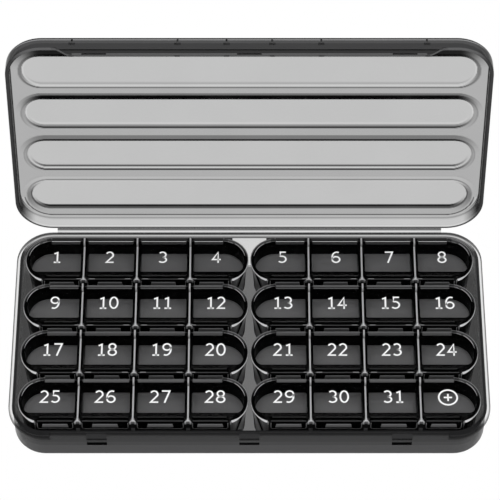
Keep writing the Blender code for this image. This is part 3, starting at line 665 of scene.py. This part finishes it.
lid_smoke = smoke_plastic("smoke_cover", (0.002, 0.002, 0.002), (0.6, 0.6, 0.61), 0.1)
lid_mesh = lay_skin("case_lid_panel", [lid_panel(), lid_skirt(), *lid_marks()], lid_smoke)
hinge_line = Matrix.Translation((0, HINGE_Y / 1000, HINGE_Z / 1000))
lid_mesh.transform(hinge_line @ Matrix.Rotation(math.radians(-OPEN_ANGLE), 4, "X") @ hinge_line.inverted())
place_piece("case_lid_panel", lid_mesh, "cover", ["case_lid"])


# Living hinge: a film of the same plastic, 0.34 mm thick, moulded on between the base's flange and the lid's
# back edge.
FILM_HALF_LENGTH = 91
FILM_HALF_THICKNESS = 0.17


def hinge_film():
    """A strip with the film's section, drawn open; the thickness is laid off square to its middle line."""
    middle = np.array([(56.2, 20.2), (56.9, 20.3), (57.45, 20.6), (57.85, 21.05), (58.15, 21.6)])
    along = np.gradient(middle, axis=0)
    square = np.stack([-along[:, 1], along[:, 0]], 1) / np.linalg.norm(along, axis=1)[:, None]
    across = square * FILM_HALF_THICKNESS
    section = np.concatenate([middle + across, (middle - across)[::-1]])
    rows, columns = 40, len(section)
    spread = np.linspace(-FILM_HALF_LENGTH, FILM_HALF_LENGTH, rows)
    rings = np.concatenate([np.broadcast_to(spread[:, None, None], (rows, columns, 1)),
                            np.broadcast_to(section, (rows, columns, 2))], -1)
    # Painted shade and highlight: the film is clear along its lower part and dark where it turns up towards
    # the lid.
    stops = np.tile([0.2, 0.18, 0.38, 0.88, 0.95, 0.88, 0.38, 0.18, 0.2, 0.6], rows - 1)
    return rings.reshape(-1, 3), closed_tube(rows, columns), np.concatenate([stops, [0.6, 0.6]]), 0.0


film_smoke = smoke_plastic("smoke_hinge", (0.05, 0.05, 0.052), (0.6, 0.6, 0.61), 0.1)
film_mesh = lay_skin("hinge_film", [hinge_film()], film_smoke)
film = place_piece("hinge_film", film_mesh, None, ["hinge_web"])
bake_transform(film)


# Trays: eight lift-out strips of four compartments, moulded in one piece with a hollow underside, a low
# ledge along the front for the lids' tabs, and bosses at the back that carry the lids' pins. Thin ridges
# along the rim and the dividers carry painted highlights.
TRAY_HALF = 52.15
TRAY_ROUND = 11.7
TRAY_FRONT = 10.9
TRAY_TOP = 20.6
TRAY_LEDGE = 18.1
TRAY_MIDDLE = 52.85
CELL = 25
END = TRAY_HALF - TRAY_ROUND
CREASE = END + math.sqrt(TRAY_ROUND ** 2 - TRAY_FRONT ** 2)
# Painted light: the compartments' floors are painted paler, as if lit from above through the lids.
FLOOR_PAINTED_LIGHT = 0.4


def on_end(radius, turn):
    """Points about END, the middle of the tray's round end, at angles in degrees and at one radius or one
    for each angle."""
    angle = np.radians(turn)
    return np.stack([END + radius * np.cos(angle), radius * np.sin(angle)], 1)


def end_arc(radius, start, stop, steps):
    """Points on a circle about END between two angles."""
    return on_end(radius, np.linspace(start, stop, steps))


def inner_loop(left, right, wall, front, back, ease, corner):
    """A compartment's own outline, anticlockwise from the left end of the front. left and right are the
    middles of its dividers, and a tray's last compartment has None on the right: there the outline follows
    the round end and meets the front in a rounded corner. ease is the size of its other corners."""
    cut = ease * (1 - math.sqrt(0.5))
    side = left + wall
    start = np.array([[side, ease - front], [side + cut, cut - front], [side + ease, -front]])
    rear = np.array([[side + ease, back], [side + cut, back - cut], [side, back - ease]])
    if right is None:
        centre_y = corner - front
        centre_x = END + math.sqrt((back - corner) ** 2 - centre_y ** 2)
        meet = math.atan2(centre_y, centre_x - END)
        bend = np.linspace(-math.pi / 2, meet, 8)
        near = np.stack([centre_x + corner * np.cos(bend), centre_y + corner * np.sin(bend)], 1)
        far = end_arc(back, math.degrees(meet), 90, 24)[1:]
        across = np.linspace(left + wall + ease, centre_x, 9)[1:-1]
        flat = np.stack([across, np.full(7, -front)], 1)
        return np.concatenate([start, flat, near, far, rear])
    across = np.linspace(left + wall + ease, right - wall - ease, 9)[1:-1]
    flat = np.stack([across, np.full(7, -front)], 1)
    mirror = np.array([left + right, 0])
    return np.concatenate([start, flat, start[::-1] * [-1, 1] + mirror, rear[::-1] * [-1, 1] + mirror, rear])


def outer_loop(left, right):
    """The tray's outline beside that compartment, with the same number of points."""
    start = np.array([[left, -7.0], [left, -TRAY_FRONT], [left + 1.65, -TRAY_FRONT]])
    rear = np.array([[left + 2.0, TRAY_ROUND], [left, TRAY_ROUND], [left, 9.0]])
    if right is None:
        steps = np.linspace(left + 4, CREASE - 2.5, 4)
        across = np.concatenate([[left + 1.66], steps, [CREASE - 1.31, CREASE - 1.3]])
        flat = np.stack([across, np.full(7, -TRAY_FRONT)], 1)
        low = -math.degrees(math.asin(TRAY_FRONT / TRAY_ROUND))
        near = end_arc(TRAY_ROUND, low, -26, 8)
        far = end_arc(TRAY_ROUND, -26, 90, 24)[1:]
        return np.concatenate([start, flat, near, far, rear])
    across = np.concatenate([[left + 1.66], np.linspace(left + 4, right - 4, 5), [right - 1.66]])
    flat = np.stack([across, np.full(7, -TRAY_FRONT)], 1)
    mirror = np.array([left + right, 0])
    return np.concatenate([start, flat, start[::-1] * [-1, 1] + mirror, rear[::-1] * [-1, 1] + mirror, rear])


def tray_tile(left, right, painted_glow=((0, 0), (0, 0))):
    """One compartment with its share of the tray. Rings run from the pocket's ceiling down, under the wall,
    up outside, over the ledge and the rim, and down into the compartment. Ring points that lie on a divider's
    middle plane stay there, so that neighbouring tiles meet. The last argument is the painted light of the
    round end's wall, above and below its ring at 8 mm, at angles of 68, 50, 45, 28, 24, 14 and 8 degrees
    before its tip. Bands are counted along the rings."""
    cell_front = 6.1
    outer = outer_loop(left, right)
    inner = inner_loop(left, right, 1.5, cell_front, 10.0, 0.6, 3.0)
    pocket = inner_loop(left, right, 0.75, 9.4, 10.2, 0.5, 0.6)
    low_cell = inner_loop(left, right, 1.6, 6.0, 9.9, 0.5, 2.9)
    floor_a = inner_loop(left, right, 1.9, 5.7, 9.6, 0.4, 2.6)
    floor_b = inner_loop(left, right, 2.6, 5.0, 8.9, 0.3, 1.9)
    limit = CREASE - 1.305 if right is None else right - 1.655
    front = outer[:, 1] < -TRAY_FRONT + 0.1
    on_ledge = front & (outer[:, 0] > left + 1.655) & (outer[:, 0] < limit)
    rim_share = 2.0 / (TRAY_FRONT - cell_front)
    step = inner + (outer - inner) * np.where(front, rim_share, 0.5)[:, None]
    step_low = np.where(front[:, None], step, inner + (outer - inner) * 0.55)
    wall_top = np.where(on_ledge, TRAY_LEDGE, TRAY_TOP)
    shared = np.abs(outer[:, 0] - left) < 0.01
    if right is not None:
        shared |= np.abs(outer[:, 0] - right) < 0.01
    eased, low = outer + (inner - outer) * 0.08, outer + (pocket - outer) * 0.85
    eased[shared, 0] = low[shared, 0] = outer[shared, 0]
    lower = low + (outer - low) * 0.35
    rows = [(pocket, 9.5), (pocket, 1.8), (low, 1.8), (low, 2.2), (lower, 8.0), (outer, wall_top - 0.2),
            (eased, wall_top), (step_low, wall_top), (step, TRAY_TOP - 0.08),
            (inner + (step - inner) * 0.9, TRAY_TOP), (inner + (step - inner) * 0.1, TRAY_TOP),
            (inner, TRAY_TOP - 0.15), (low_cell, 12.2), (floor_a, 11.4), (floor_b, 11.0)]
    rings = np.stack([np.concatenate([flat, np.broadcast_to(z, len(flat))[:, None]], 1) for flat, z in rows])
    count = len(outer)
    quads = ring_faces(len(rows), count)
    stop = np.full(quads.shape[:2], 0.9)
    painted_light = np.zeros(quads.shape[:2])
    stop[3:12] = SOLID
    floor_rows = slice(12, None)
    stop[floor_rows] = 0.95
    painted_light[floor_rows] = FLOOR_PAINTED_LIGHT
    middle = (outer + np.roll(outer, -1, 0)) / 2
    divider = shared & np.roll(shared, -1) & (np.abs(outer[:, 0] - np.roll(outer[:, 0], -1)) < 0.01)
    wall = (middle[:, 0] > END + 4) & (middle[:, 1] < 1)
    turn = np.degrees(np.arctan2(middle[:, 1], middle[:, 0] - END))
    # Painted highlight on the front wall and the ledge, and painted light on the round end's wall.
    for band, tones in zip((4, 3), painted_glow):
        painted_light[band, front] = 0.045
        if right is None:
            painted_light[band, wall] = np.interp(turn[wall], [-68, -50, -45, -28, -24, -14, -8], tones)
    painted_light[5:7, on_ledge] = 0.02
    keep = np.ones(quads.shape[:2], bool)
    keep[2:6, divider] = False
    faces = quads[keep].tolist() + end_caps(len(rows), count)
    stops = np.concatenate([stop[keep], [0.9, 0.95]])
    lights = np.concatenate([painted_light[keep], [0.0, FLOOR_PAINTED_LIGHT]])
    return rings.reshape(-1, 3), faces, stops, lights


def bead(path, width, low, high, painted_light):
    """A ridge along a line. Its section, a hump with a flat top, is carried along with mitred bends: each
    point's across direction is square to the mean of the two steps that meet there."""
    path = np.asarray(path, float)
    step = np.diff(path, axis=0)
    step /= np.linalg.norm(step, axis=1)[:, None]
    along = np.concatenate([step[:1], step]) + np.concatenate([step, step[-1:]])
    across = np.stack([-along[:, 1], along[:, 0]], 1) * (2 / np.maximum(np.sum(along ** 2, 1), 0.8))[:, None]
    hump = np.array([-0.5, -0.5, -0.25, 0.25, 0.5, 0.5])
    side = hump * np.broadcast_to(width, len(path))[:, None]
    low, high = (np.broadcast_to(level, len(path))[:, None] for level in (low, high))
    tall = np.concatenate([low, high - 0.05, high, high, high - 0.05, low], 1)
    flat = path[:, None] + across[:, None] * side[..., None]
    points = np.concatenate([flat, tall[..., None]], -1).reshape(-1, 3)
    # Painted highlight along the ridge, one value for each step.
    painted_glow = np.broadcast_to(painted_light, len(path) - 1)
    lights = np.concatenate([np.repeat(painted_glow, len(hump)), painted_glow[[0, -1]]])
    return points, closed_tube(len(path), len(hump)), SOLID, lights


def flipped(shell):
    """The same shell, mirrored left to right."""
    spots, faces, stop, painted_light = shell
    return np.asarray(spots) * [-1, 1, 1], [side[::-1] for side in faces], stop, painted_light


def tray_shells():
    """A tray whose right end faces the middle of the case: four compartments, the bosses that hold the lids'
    pins, and the ridges with their posts, which carry painted highlights. Behind the lids, the rim's ridge
    rises as high as their top."""
    # Painted light on the round ends' walls: the end by the middle gap is painted lighter than the outer end.
    middle_painted_glow = ((0.2, 0.4, 0.0, 0.0, 0.7, 1.0, 1.0), (0.45, 0.7, 0.5, 0.5, 0.9, 1.0, 1.0))
    outer_painted_glow = ((0.0, 0.0, 0.0, 0.0, 0.1, 0.35, 0.35), (0.03, 0.03, 0.0, 0.1, 0.5, 0.9, 0.9))
    turn = np.array([-68.7, -66, -63, -60, -56, -52, -48, -44, -38, -32, -26,
                     -20, -12, -4, 6, 16, 28, 40, 52, 64, 78, 90])
    rim = on_end(TRAY_ROUND + 0.1, turn)
    rim[0] = (CREASE, -TRAY_FRONT)
    middle = (turn[1:] + turn[:-1]) / 2
    # Painted highlight along the rim's ridge, strongest at the front crease.
    painted_glow = np.interp(middle, [-68, -50, -20, 0, 45, 90], [1.0, 0.85, 0.55, 0.25, 0.28, 0.25])
    width = np.interp(turn, [-68.7, -58, -50, -35, 90], [1.1, 1.0, 0.55, 0.36, 0.32])
    foot, ridge_top, boss_top, boss_front = 20.5, 20.68, 23.3, 8.2
    parts = [bead(rim, width, foot, np.interp(turn, [-30, 10], [ridge_top, 22.0]), painted_glow)]
    # An inner ridge at the back of the end with a painted highlight.
    turn = np.linspace(58, 88, 7)
    inner = on_end(np.interp(turn, [58, 88], [11.15, 11.4]), turn)
    parts.append(bead(inner, 0.3, foot, 20.66, 0.7))
    # Thin strips at the front crease with a painted highlight.
    for low, high, painted_shine in ((18.2, 20.55, 0.8), (10.5, 18.2, 0.25)):
        parts.append(block((CREASE - 0.55, -11.0, low), (CREASE - 0.1, -10.85, high), 0.05, SOLID, painted_shine))
    shells = [tray_tile(0, CELL), tray_tile(CELL, None, middle_painted_glow)] + parts
    shells += [flipped(part) for part in [tray_tile(0, CELL), tray_tile(CELL, None, outer_painted_glow)] + parts]
    # Ridges along the back rim and the front, with painted highlights.
    shells.append(bead([(-END, 11.45), (END, 11.45)], 0.35, foot, 20.7, 0.25))
    shells.append(bead([(-END - 2, -8.15), (END + 2, -8.15)], 0.3, 19.7, 20.35, 0.13))
    # Bosses, and beads and thin blocks with painted highlights on the bosses' tops, along the dividers and on
    # the tray's front.
    for spot in (-CELL, 0, CELL):
        shells.append(block((spot - 1.65, boss_front, foot), (spot + 1.65, 11.4, boss_top), 0.25, 0.55, 0.0))
        shells.append(bead([(spot, 8.3), (spot, 11.2)], 0.75, 23.2, 23.38, 0.6))
        shells.append(block((spot - 0.4, 8.1, TRAY_TOP), (spot + 0.4, 8.3, 23.2), 0.05, SOLID, 0.6))
        shells.append(bead([(spot, -9.2), (spot, boss_front)], 0.75, foot, ridge_top, 1.0))
        shells.append(bead([(spot, -9.0), (spot, -10.85)], [0.9, 2.9], foot, ridge_top, 1.0))
        for side in (-1, 1):
            low, high = sorted((spot + side * 0.75, spot + side * 1.62))
            shells.append(block((low, -10.98, 18.3), (high, -10.8, foot), 0.06, SOLID, 1.0))
        shells.append(block((spot - 0.7, -10.96, 18.6), (spot + 0.7, -10.8, 20.4), 0.06, SOLID, 0.3))
        shells.append(block((spot - 0.9, -10.98, 11.2), (spot + 0.9, -10.8, 15.0), 0.06, SOLID, 0.3))
    for side in (-1, 1):
        low, high = sorted((side * (END + 0.3), side * (END + 2.3)))
        shells.append(block((low, boss_front, foot), (high, 11.1, boss_top), 0.25, 0.25, 0.0))
    return shells


tray_smoke = smoke_plastic("smoke_tray", (0.0012, 0.0012, 0.0013), (0.66, 0.66, 0.67), 0.06)
tray_forms = (lay_skin("tray_left_form", tray_shells(), tray_smoke),
              lay_skin("tray_right_form", [flipped(shell) for shell in tray_shells()], tray_smoke))
for row, row_y in enumerate(ROW_PLACES, start=1):
    for column, side, form in zip(("left", "right"), (-1, 1), tray_forms):
        tray = f"tray_{row}_{column}"
        mesh = form.copy()
        mesh.transform(Matrix.Translation((side * TRAY_MIDDLE / 1000, row_y / 1000, 0)))
        place_piece(f"{tray}_body", mesh, tray, [tray])


# Compartment lids: a clear smoky plate with a barrel and two stub pins at the back and, at the front, a tab
# with a raised thumb bar that hangs over the tray's ledge.
LID_END = END - 1.5 * CELL
TAB_END = LID_END + 2.95
TAB_HALF = 10.7
TAB_FACE = -12.4
PLATE_TOP = 22.1
BARREL_HALF = 10.55
BARREL_Y = 9.6
BARREL_Z = 22.0


def plate_loop(end):
    """The plate's outline about the compartment's middle, clockwise from the barrel's right end. A lid at a
    tray's end follows a circle about LID_END."""
    left = [(-TAB_HALF, TAB_FACE), (-TAB_HALF, -11.7), (-12.05, -10.3),
            (-12.05, 7.3), (-BARREL_HALF, 7.3), (-BARREL_HALF, BARREL_Y)]
    if not end:
        return np.array(left[::-1] + [(-x, y) for x, y in left])[::-1]
    plate_round = 10.7
    arc = end_arc(plate_round, -73.9, 60.3, 22) - [1.5 * CELL, 0]
    right = [(LID_END + 2.6, 9.3), (LID_END + 2.6, 7.3), (LID_END, 7.3), (LID_END, BARREL_Y)]
    return np.concatenate([left[::-1], [(TAB_END, TAB_FACE)], arc, right])[::-1]


def slab(loop, low, high, ease, stops):
    """A flat outline as a plate with eased edges. Each edge point moves in along the corner's bisector. stops
    is the light that the rings of its edge keep back, then that of its two flat faces."""
    before, after = loop - np.roll(loop, 1, 0), np.roll(loop, -1, 0) - loop
    area = np.sum(loop[:, 0] * np.roll(loop[:, 1], -1) - loop[:, 1] * np.roll(loop[:, 0], -1))
    turn = np.array([[0, -1], [1, 0]]) * np.sign(area)
    along = sum(way / np.linalg.norm(way, axis=1)[:, None] for way in (before, after))
    inward = along @ turn / np.maximum(np.sum(along ** 2, 1), 0.4)[:, None] * 2
    tight = loop - inward * ease
    rings = [(tight, low), (loop, low + ease), (loop, high - ease), (tight, high)]
    spots = np.concatenate([np.concatenate([flat, np.full((len(flat), 1), z)], 1) for flat, z in rings])
    keeps = np.append(np.repeat(stops[0], 3 * len(loop)), [stops[1]] * 2)
    return spots, closed_tube(4, len(loop)), keeps, 0.0


def rod_shell(radius, start, finish, stop, lights=()):
    """A round rod along the barrel's line with eased ends. Each entry of the last argument is (from, to,
    level):
    the angles, in degrees from the back up and over, between which its facets get that painted highlight."""
    count, facet = 36, 10
    turn = np.arange(0, 360, facet)
    angle = np.radians(turn)
    ease = min(0.15, radius / 4)
    inward = ease if finish > start else -ease
    rows = [(radius - ease, start), (radius, start + inward),
            (radius, finish - inward), (radius - ease, finish)]
    round_y, round_z = np.cos(angle), np.sin(angle)
    rings = [np.stack([np.full(count, x), BARREL_Y + reach * round_y, BARREL_Z + reach * round_z], 1)
             for reach, x in rows]
    # Painted highlight on the facets between the given angles.
    painted_glow = np.zeros(count)
    for low, high, level in lights:
        painted_glow[(turn + facet / 2 > low) & (turn + facet / 2 < high)] = level
    return np.concatenate(rings), closed_tube(4, count), stop, np.append(np.tile(painted_glow, 3), [0, 0])


def upright(shell):
    """A shape drawn flat, stood up against the tab's front face: its depth points to the front."""
    spots, faces, stop, painted_light = shell
    return np.stack([spots[:, 0], TAB_FACE - spots[:, 2], spots[:, 1]], 1), faces, stop, painted_light


def lid_form(end, row):
    """Plate, tab, thumb bar, barrel and stub pins of one compartment lid, about the compartment's middle. The
    painted highlights on the barrel and the tab differ from row to row."""
    right = TAB_END if end else TAB_HALF
    shells = [slab(plate_loop(end), 20.9, PLATE_TOP, 0.12, (0.6, 0.1))]
    bend = np.radians(np.linspace(180, 270, 6))
    tab_foot, tab_top, tab_corner = 16.7, 21.9, 1.5

    def tab_line(margin):
        """The tab's left side, bottom and right side, drawn in by a margin."""
        ease = tab_corner - margin
        curve = np.stack([tab_corner + ease * np.cos(bend), tab_foot + tab_corner + ease * np.sin(bend)], 1)
        mirror = np.stack([right - curve[::-1, 0], curve[::-1, 1]], 1)
        start, finish = [[margin - TAB_HALF, tab_top]], [[right - margin, tab_top]]
        return np.concatenate([start, curve - [TAB_HALF, 0], mirror, finish])

    spots, faces, stop, painted_light = slab(tab_line(0), 0.0, 1.2, 0.12, (0.9, 0.85))
    shells.append((np.stack([spots[:, 0], TAB_FACE + spots[:, 2], spots[:, 1]], 1), faces, stop, painted_light))
    middle = (right - TAB_HALF) / 2
    bar_foot, bar_top = (6.0, 18.6), (5.6, 21.1)
    bar = np.array([(middle - bar_foot[0], bar_foot[1]), (middle + bar_foot[0], bar_foot[1]),
                    (middle + bar_top[0], bar_top[1]), (middle - bar_top[0], bar_top[1])])
    # Painted light on the thumb bar.
    bar_painted_light = 0.3 if row == 4 else 0.28
    shells.append((*upright(slab(bar, -0.05, 0.35, 0.1, (0.95, 0.95)))[:3], bar_painted_light))
    outline = tab_line(0.3)
    # Painted highlight round the tab's outline, stronger at its corners.
    side_painted_light, corner_painted_light = 0.3, 0.45
    painted_glow = np.where(np.arange(len(outline) - 1) % len(bend) < 4, corner_painted_light, side_painted_light)
    shells.append(upright(bead(outline, 0.28, -0.05, 0.08, painted_glow)))
    # Painted highlights on the plate's front: short strips beside the thumb bar, except in the front row, and
    # a thin line along the edge.
    if row != 4:
        for side in (-1,) if end else (-1, 1):
            low, high = sorted((middle + side * 7.0, middle + side * 9.7))
            shells.append(block((low, -11.5, 22.05), (high, -11.15, 22.16), 0.04, 0.95, 0.5))
    shells.append(block((-10.4, -11.7, 22.05), (right - 0.3, -11.3, 22.14), 0.03, 0.95, 0.1))
    # Painted highlight along an end lid's arc.
    if end:
        turn = np.linspace(10, 58, 9)
        arc = on_end(10.45, turn) - [1.5 * CELL, 0]
        shells.append(bead(arc, np.interp(turn, [10, 25], [0.1, 0.3]), 22.0, 22.14, 0.7))
    far = LID_END if end else BARREL_HALF
    # Painted highlights on the barrel's facets, row by row.
    painted_barrel_highlights = {1: ((80, 90, 0.05), (90, 115, 0.75), (115, 145, 0.03), (145, 175, 0.13)),
              2: ((40, 70, 0.25), (70, 112, 0.15), (112, 128, 0.03), (128, 150, 0.2)),
              4: ((45, 98, 0.18), (98, 145, 0.15))}[row]
    shells.append(rod_shell(1.1, -BARREL_HALF, far, 0.95, painted_barrel_highlights))
    # Painted highlight along the plate's back, behind the barrel, except in the back row.
    if row > 1:
        shells.append(bead([(-10.5, 10.75), (far, 10.75)], 0.5, 21.6, PLATE_TOP, 0.4))
    shells.append(rod_shell(0.5, -BARREL_HALF - 0.05, -BARREL_HALF - 1.0, 0.9))
    shells.append(rod_shell(0.5, far, far + 1.0, 0.9))
    return shells


plate_smoke = smoke_plastic("smoke_lid", (0.0012, 0.0012, 0.0013), (0.6, 0.6, 0.61), 0.06)
number = 0
for row, row_y in enumerate(ROW_PLACES, start=1):
    # The third row takes the second row's forms.
    if row != 3:
        inner_form = lay_skin("lid_inner_form", lid_form(False, row), plate_smoke)
        right_form = lay_skin("lid_right_form", lid_form(True, row), plate_smoke)
        left_form = lay_skin("lid_left_form", [flipped(shell) for shell in lid_form(True, row)], plate_smoke)
    for side in (-1, 1):
        for form, cell in zip((left_form, inner_form, inner_form, right_form), (-1.5, -0.5, 0.5, 1.5)):
            number += 1
            lid = f"lid_{number:02d}"
            middle = side * TRAY_MIDDLE + CELL * cell
            mesh = form.copy()
            mesh.transform(Matrix.Translation((middle / 1000, row_y / 1000, 0)))
            place_piece(f"{lid}_plate", mesh, lid, [lid])


# Printed numbers: white ink on each lid, one to thirty-one, and a plain ring with a plus on the last one. A
# pad prints the ink on the moulded plate, so that each number moves with its lid.
INK_FOOT = PLATE_TOP + 0.01
INK_THICKNESS = 0.03
INK_WIDTH = 0.8
LAST_LID = 32


def arc_points(middle_x, middle_y, radius_x, radius_y, start, stop, steps):
    """Points on an ellipse between two angles."""
    angle = np.radians(np.linspace(start, stop, steps))
    return np.stack([middle_x + radius_x * np.cos(angle), middle_y + radius_y * np.sin(angle)], 1)


# Each digit is a list of strokes in millimetres, before they are drawn out wider and taller.
DIGITS = {
    "0": [arc_points(1.72, 2.95, 1.42, 2.64, 90, 450, 41)],
    "1": [np.array([[0.75, 4.75], [1.95, 5.35], [1.95, 0.0]]), np.array([[0.6, 0.28], [3.1, 0.28]])],
    "2": [np.concatenate([arc_points(1.6, 4.0, 1.3, 1.6, 150, -20, 18), [[0.4, 0.3], [3.15, 0.3]]])],
    "3": [arc_points(1.5, 4.25, 1.25, 1.35, 145, -90, 18), arc_points(1.5, 1.6, 1.45, 1.32, 90, -145, 20)],
    "4": [np.array([[2.45, 0.0], [2.45, 5.5], [0.35, 1.75], [3.45, 1.75]])],
    "5": [np.concatenate([[[3.0, 5.6], [0.95, 5.6], [0.8, 3.25]],
                          arc_points(1.5, 1.9, 1.5, 1.6, 118, -140, 22)])],
    "6": [np.concatenate([arc_points(2.2, 3.0, 1.75, 2.6, 65, 180, 16),
                          arc_points(1.85, 1.75, 1.4, 1.48, 180, 540, 30)])],
    "7": [np.array([[0.35, 5.6], [3.15, 5.6], [1.35, 0.0]])],
    "8": [arc_points(1.75, 4.35, 1.2, 1.28, -90, 270, 30), arc_points(1.75, 1.6, 1.42, 1.33, 90, 450, 30)],
    "9": [np.concatenate([arc_points(1.5, 2.9, 1.75, 2.6, -115, 0, 16),
                          arc_points(1.85, 4.15, 1.4, 1.48, 0, 360, 30)])],
}


def ink_strokes(lines, place):
    """Each stroke is a flat band of even width along its line, a hair thick, with mitred joins. A line that
    ends where it starts is closed to a ring; any other gets two end faces."""
    shells = []
    for line in lines:
        step = np.diff(line, axis=0)
        step /= np.linalg.norm(step, axis=1)[:, None]
        ring = np.allclose(line[0], line[-1])
        before = np.concatenate([step[-1:] if ring else step[:1], step])
        after = np.concatenate([step, step[:1] if ring else step[-1:]])
        along = before + after
        across = np.stack([-along[:, 1], along[:, 0]], 1)
        across *= (INK_WIDTH / np.maximum(np.sum(along ** 2, 1), 0.8))[:, None]
        left, right = line + across + place, line - across + place
        top = INK_FOOT + INK_THICKNESS
        edges = ((left, INK_FOOT), (right, INK_FOOT), (right, top), (left, top))
        count = len(line)
        spots = np.concatenate([np.concatenate([edge, np.full((count, 1), z)], 1) for edge, z in edges])
        quads = ring_faces(4, count, False).reshape(-1, 4).tolist()
        close = ring_faces(2, count, False).reshape(-1, 4)
        close = np.where(close >= count, close - count, close + 3 * count)
        faces = quads + close.tolist()
        if not ring:
            faces += [[edge * count + end for edge in range(4)] for end in (0, count - 1)]
        shells.append((spots, faces, 1.0, 1.0))
    return shells


ink = bpy.data.materials.new("white_ink")
ink.use_nodes = True
ink_skin = ink.node_tree.nodes["Principled BSDF"]
ink_skin.inputs["Base Color"].default_value = (0.95, 0.95, 0.95, 1)
ink_skin.inputs["Roughness"].default_value = 0.55
ink_skin.inputs["Specular IOR Level"].default_value = 0.2
speck = ink.node_tree.nodes.new("ShaderNodeTexNoise")
speck.inputs["Scale"].default_value = 1500
spot_place = ink.node_tree.nodes.new("ShaderNodeTexCoord")
ink.node_tree.links.new(spot_place.outputs["Object"], speck.inputs["Vector"])
tooth = ink.node_tree.nodes.new("ShaderNodeBump")
tooth.inputs["Strength"].default_value = 0.1
tooth.inputs["Distance"].default_value = 0.00005
ink.node_tree.links.new(speck.outputs["Fac"], tooth.inputs["Height"])
ink.node_tree.links.new(tooth.outputs["Normal"], ink_skin.inputs["Normal"])

number = 0
feet, heights = (-2.2, -2.3, -2.3, -1.8), (1.09, 1.15, 1.15, 1.12)
half_digit, pitch, wide = 2.19, 5.1, 1.25
for row_y, foot, tall in zip(ROW_PLACES, feet, heights):
    for side in (-1, 1):
        for cell in (-1.5, -0.5, 0.5, 1.5):
            number += 1
            lid = f"lid_{number:02d}"
            middle = side * TRAY_MIDDLE + CELL * cell + side * 0.25
            if number == LAST_LID:
                ring = arc_points(0, 0, 4.18, 3.93, 0, 360, 61)
                plus = [np.array(ends) for ends in ([[-1.9, 0], [1.9, 0]], [[0, 1.9], [0, 0.36]],
                                                    [[0, -0.36], [0, -1.9]])]
                shells = ink_strokes([ring, *plus], [middle - 0.35, row_y + 1.04])
            else:
                digits = str(number)
                shells = []
                for place, digit in enumerate(digits):
                    shift = middle - half_digit + pitch * (place - (len(digits) - 1) / 2)
                    lines = [line * [wide, tall] for line in DIGITS[digit]]
                    shells += ink_strokes(lines, [shift, row_y + foot])
            mesh = lay_skin(f"{lid}_number", shells, ink, 60)
            place_piece(f"{lid}_number", mesh, lid, [])
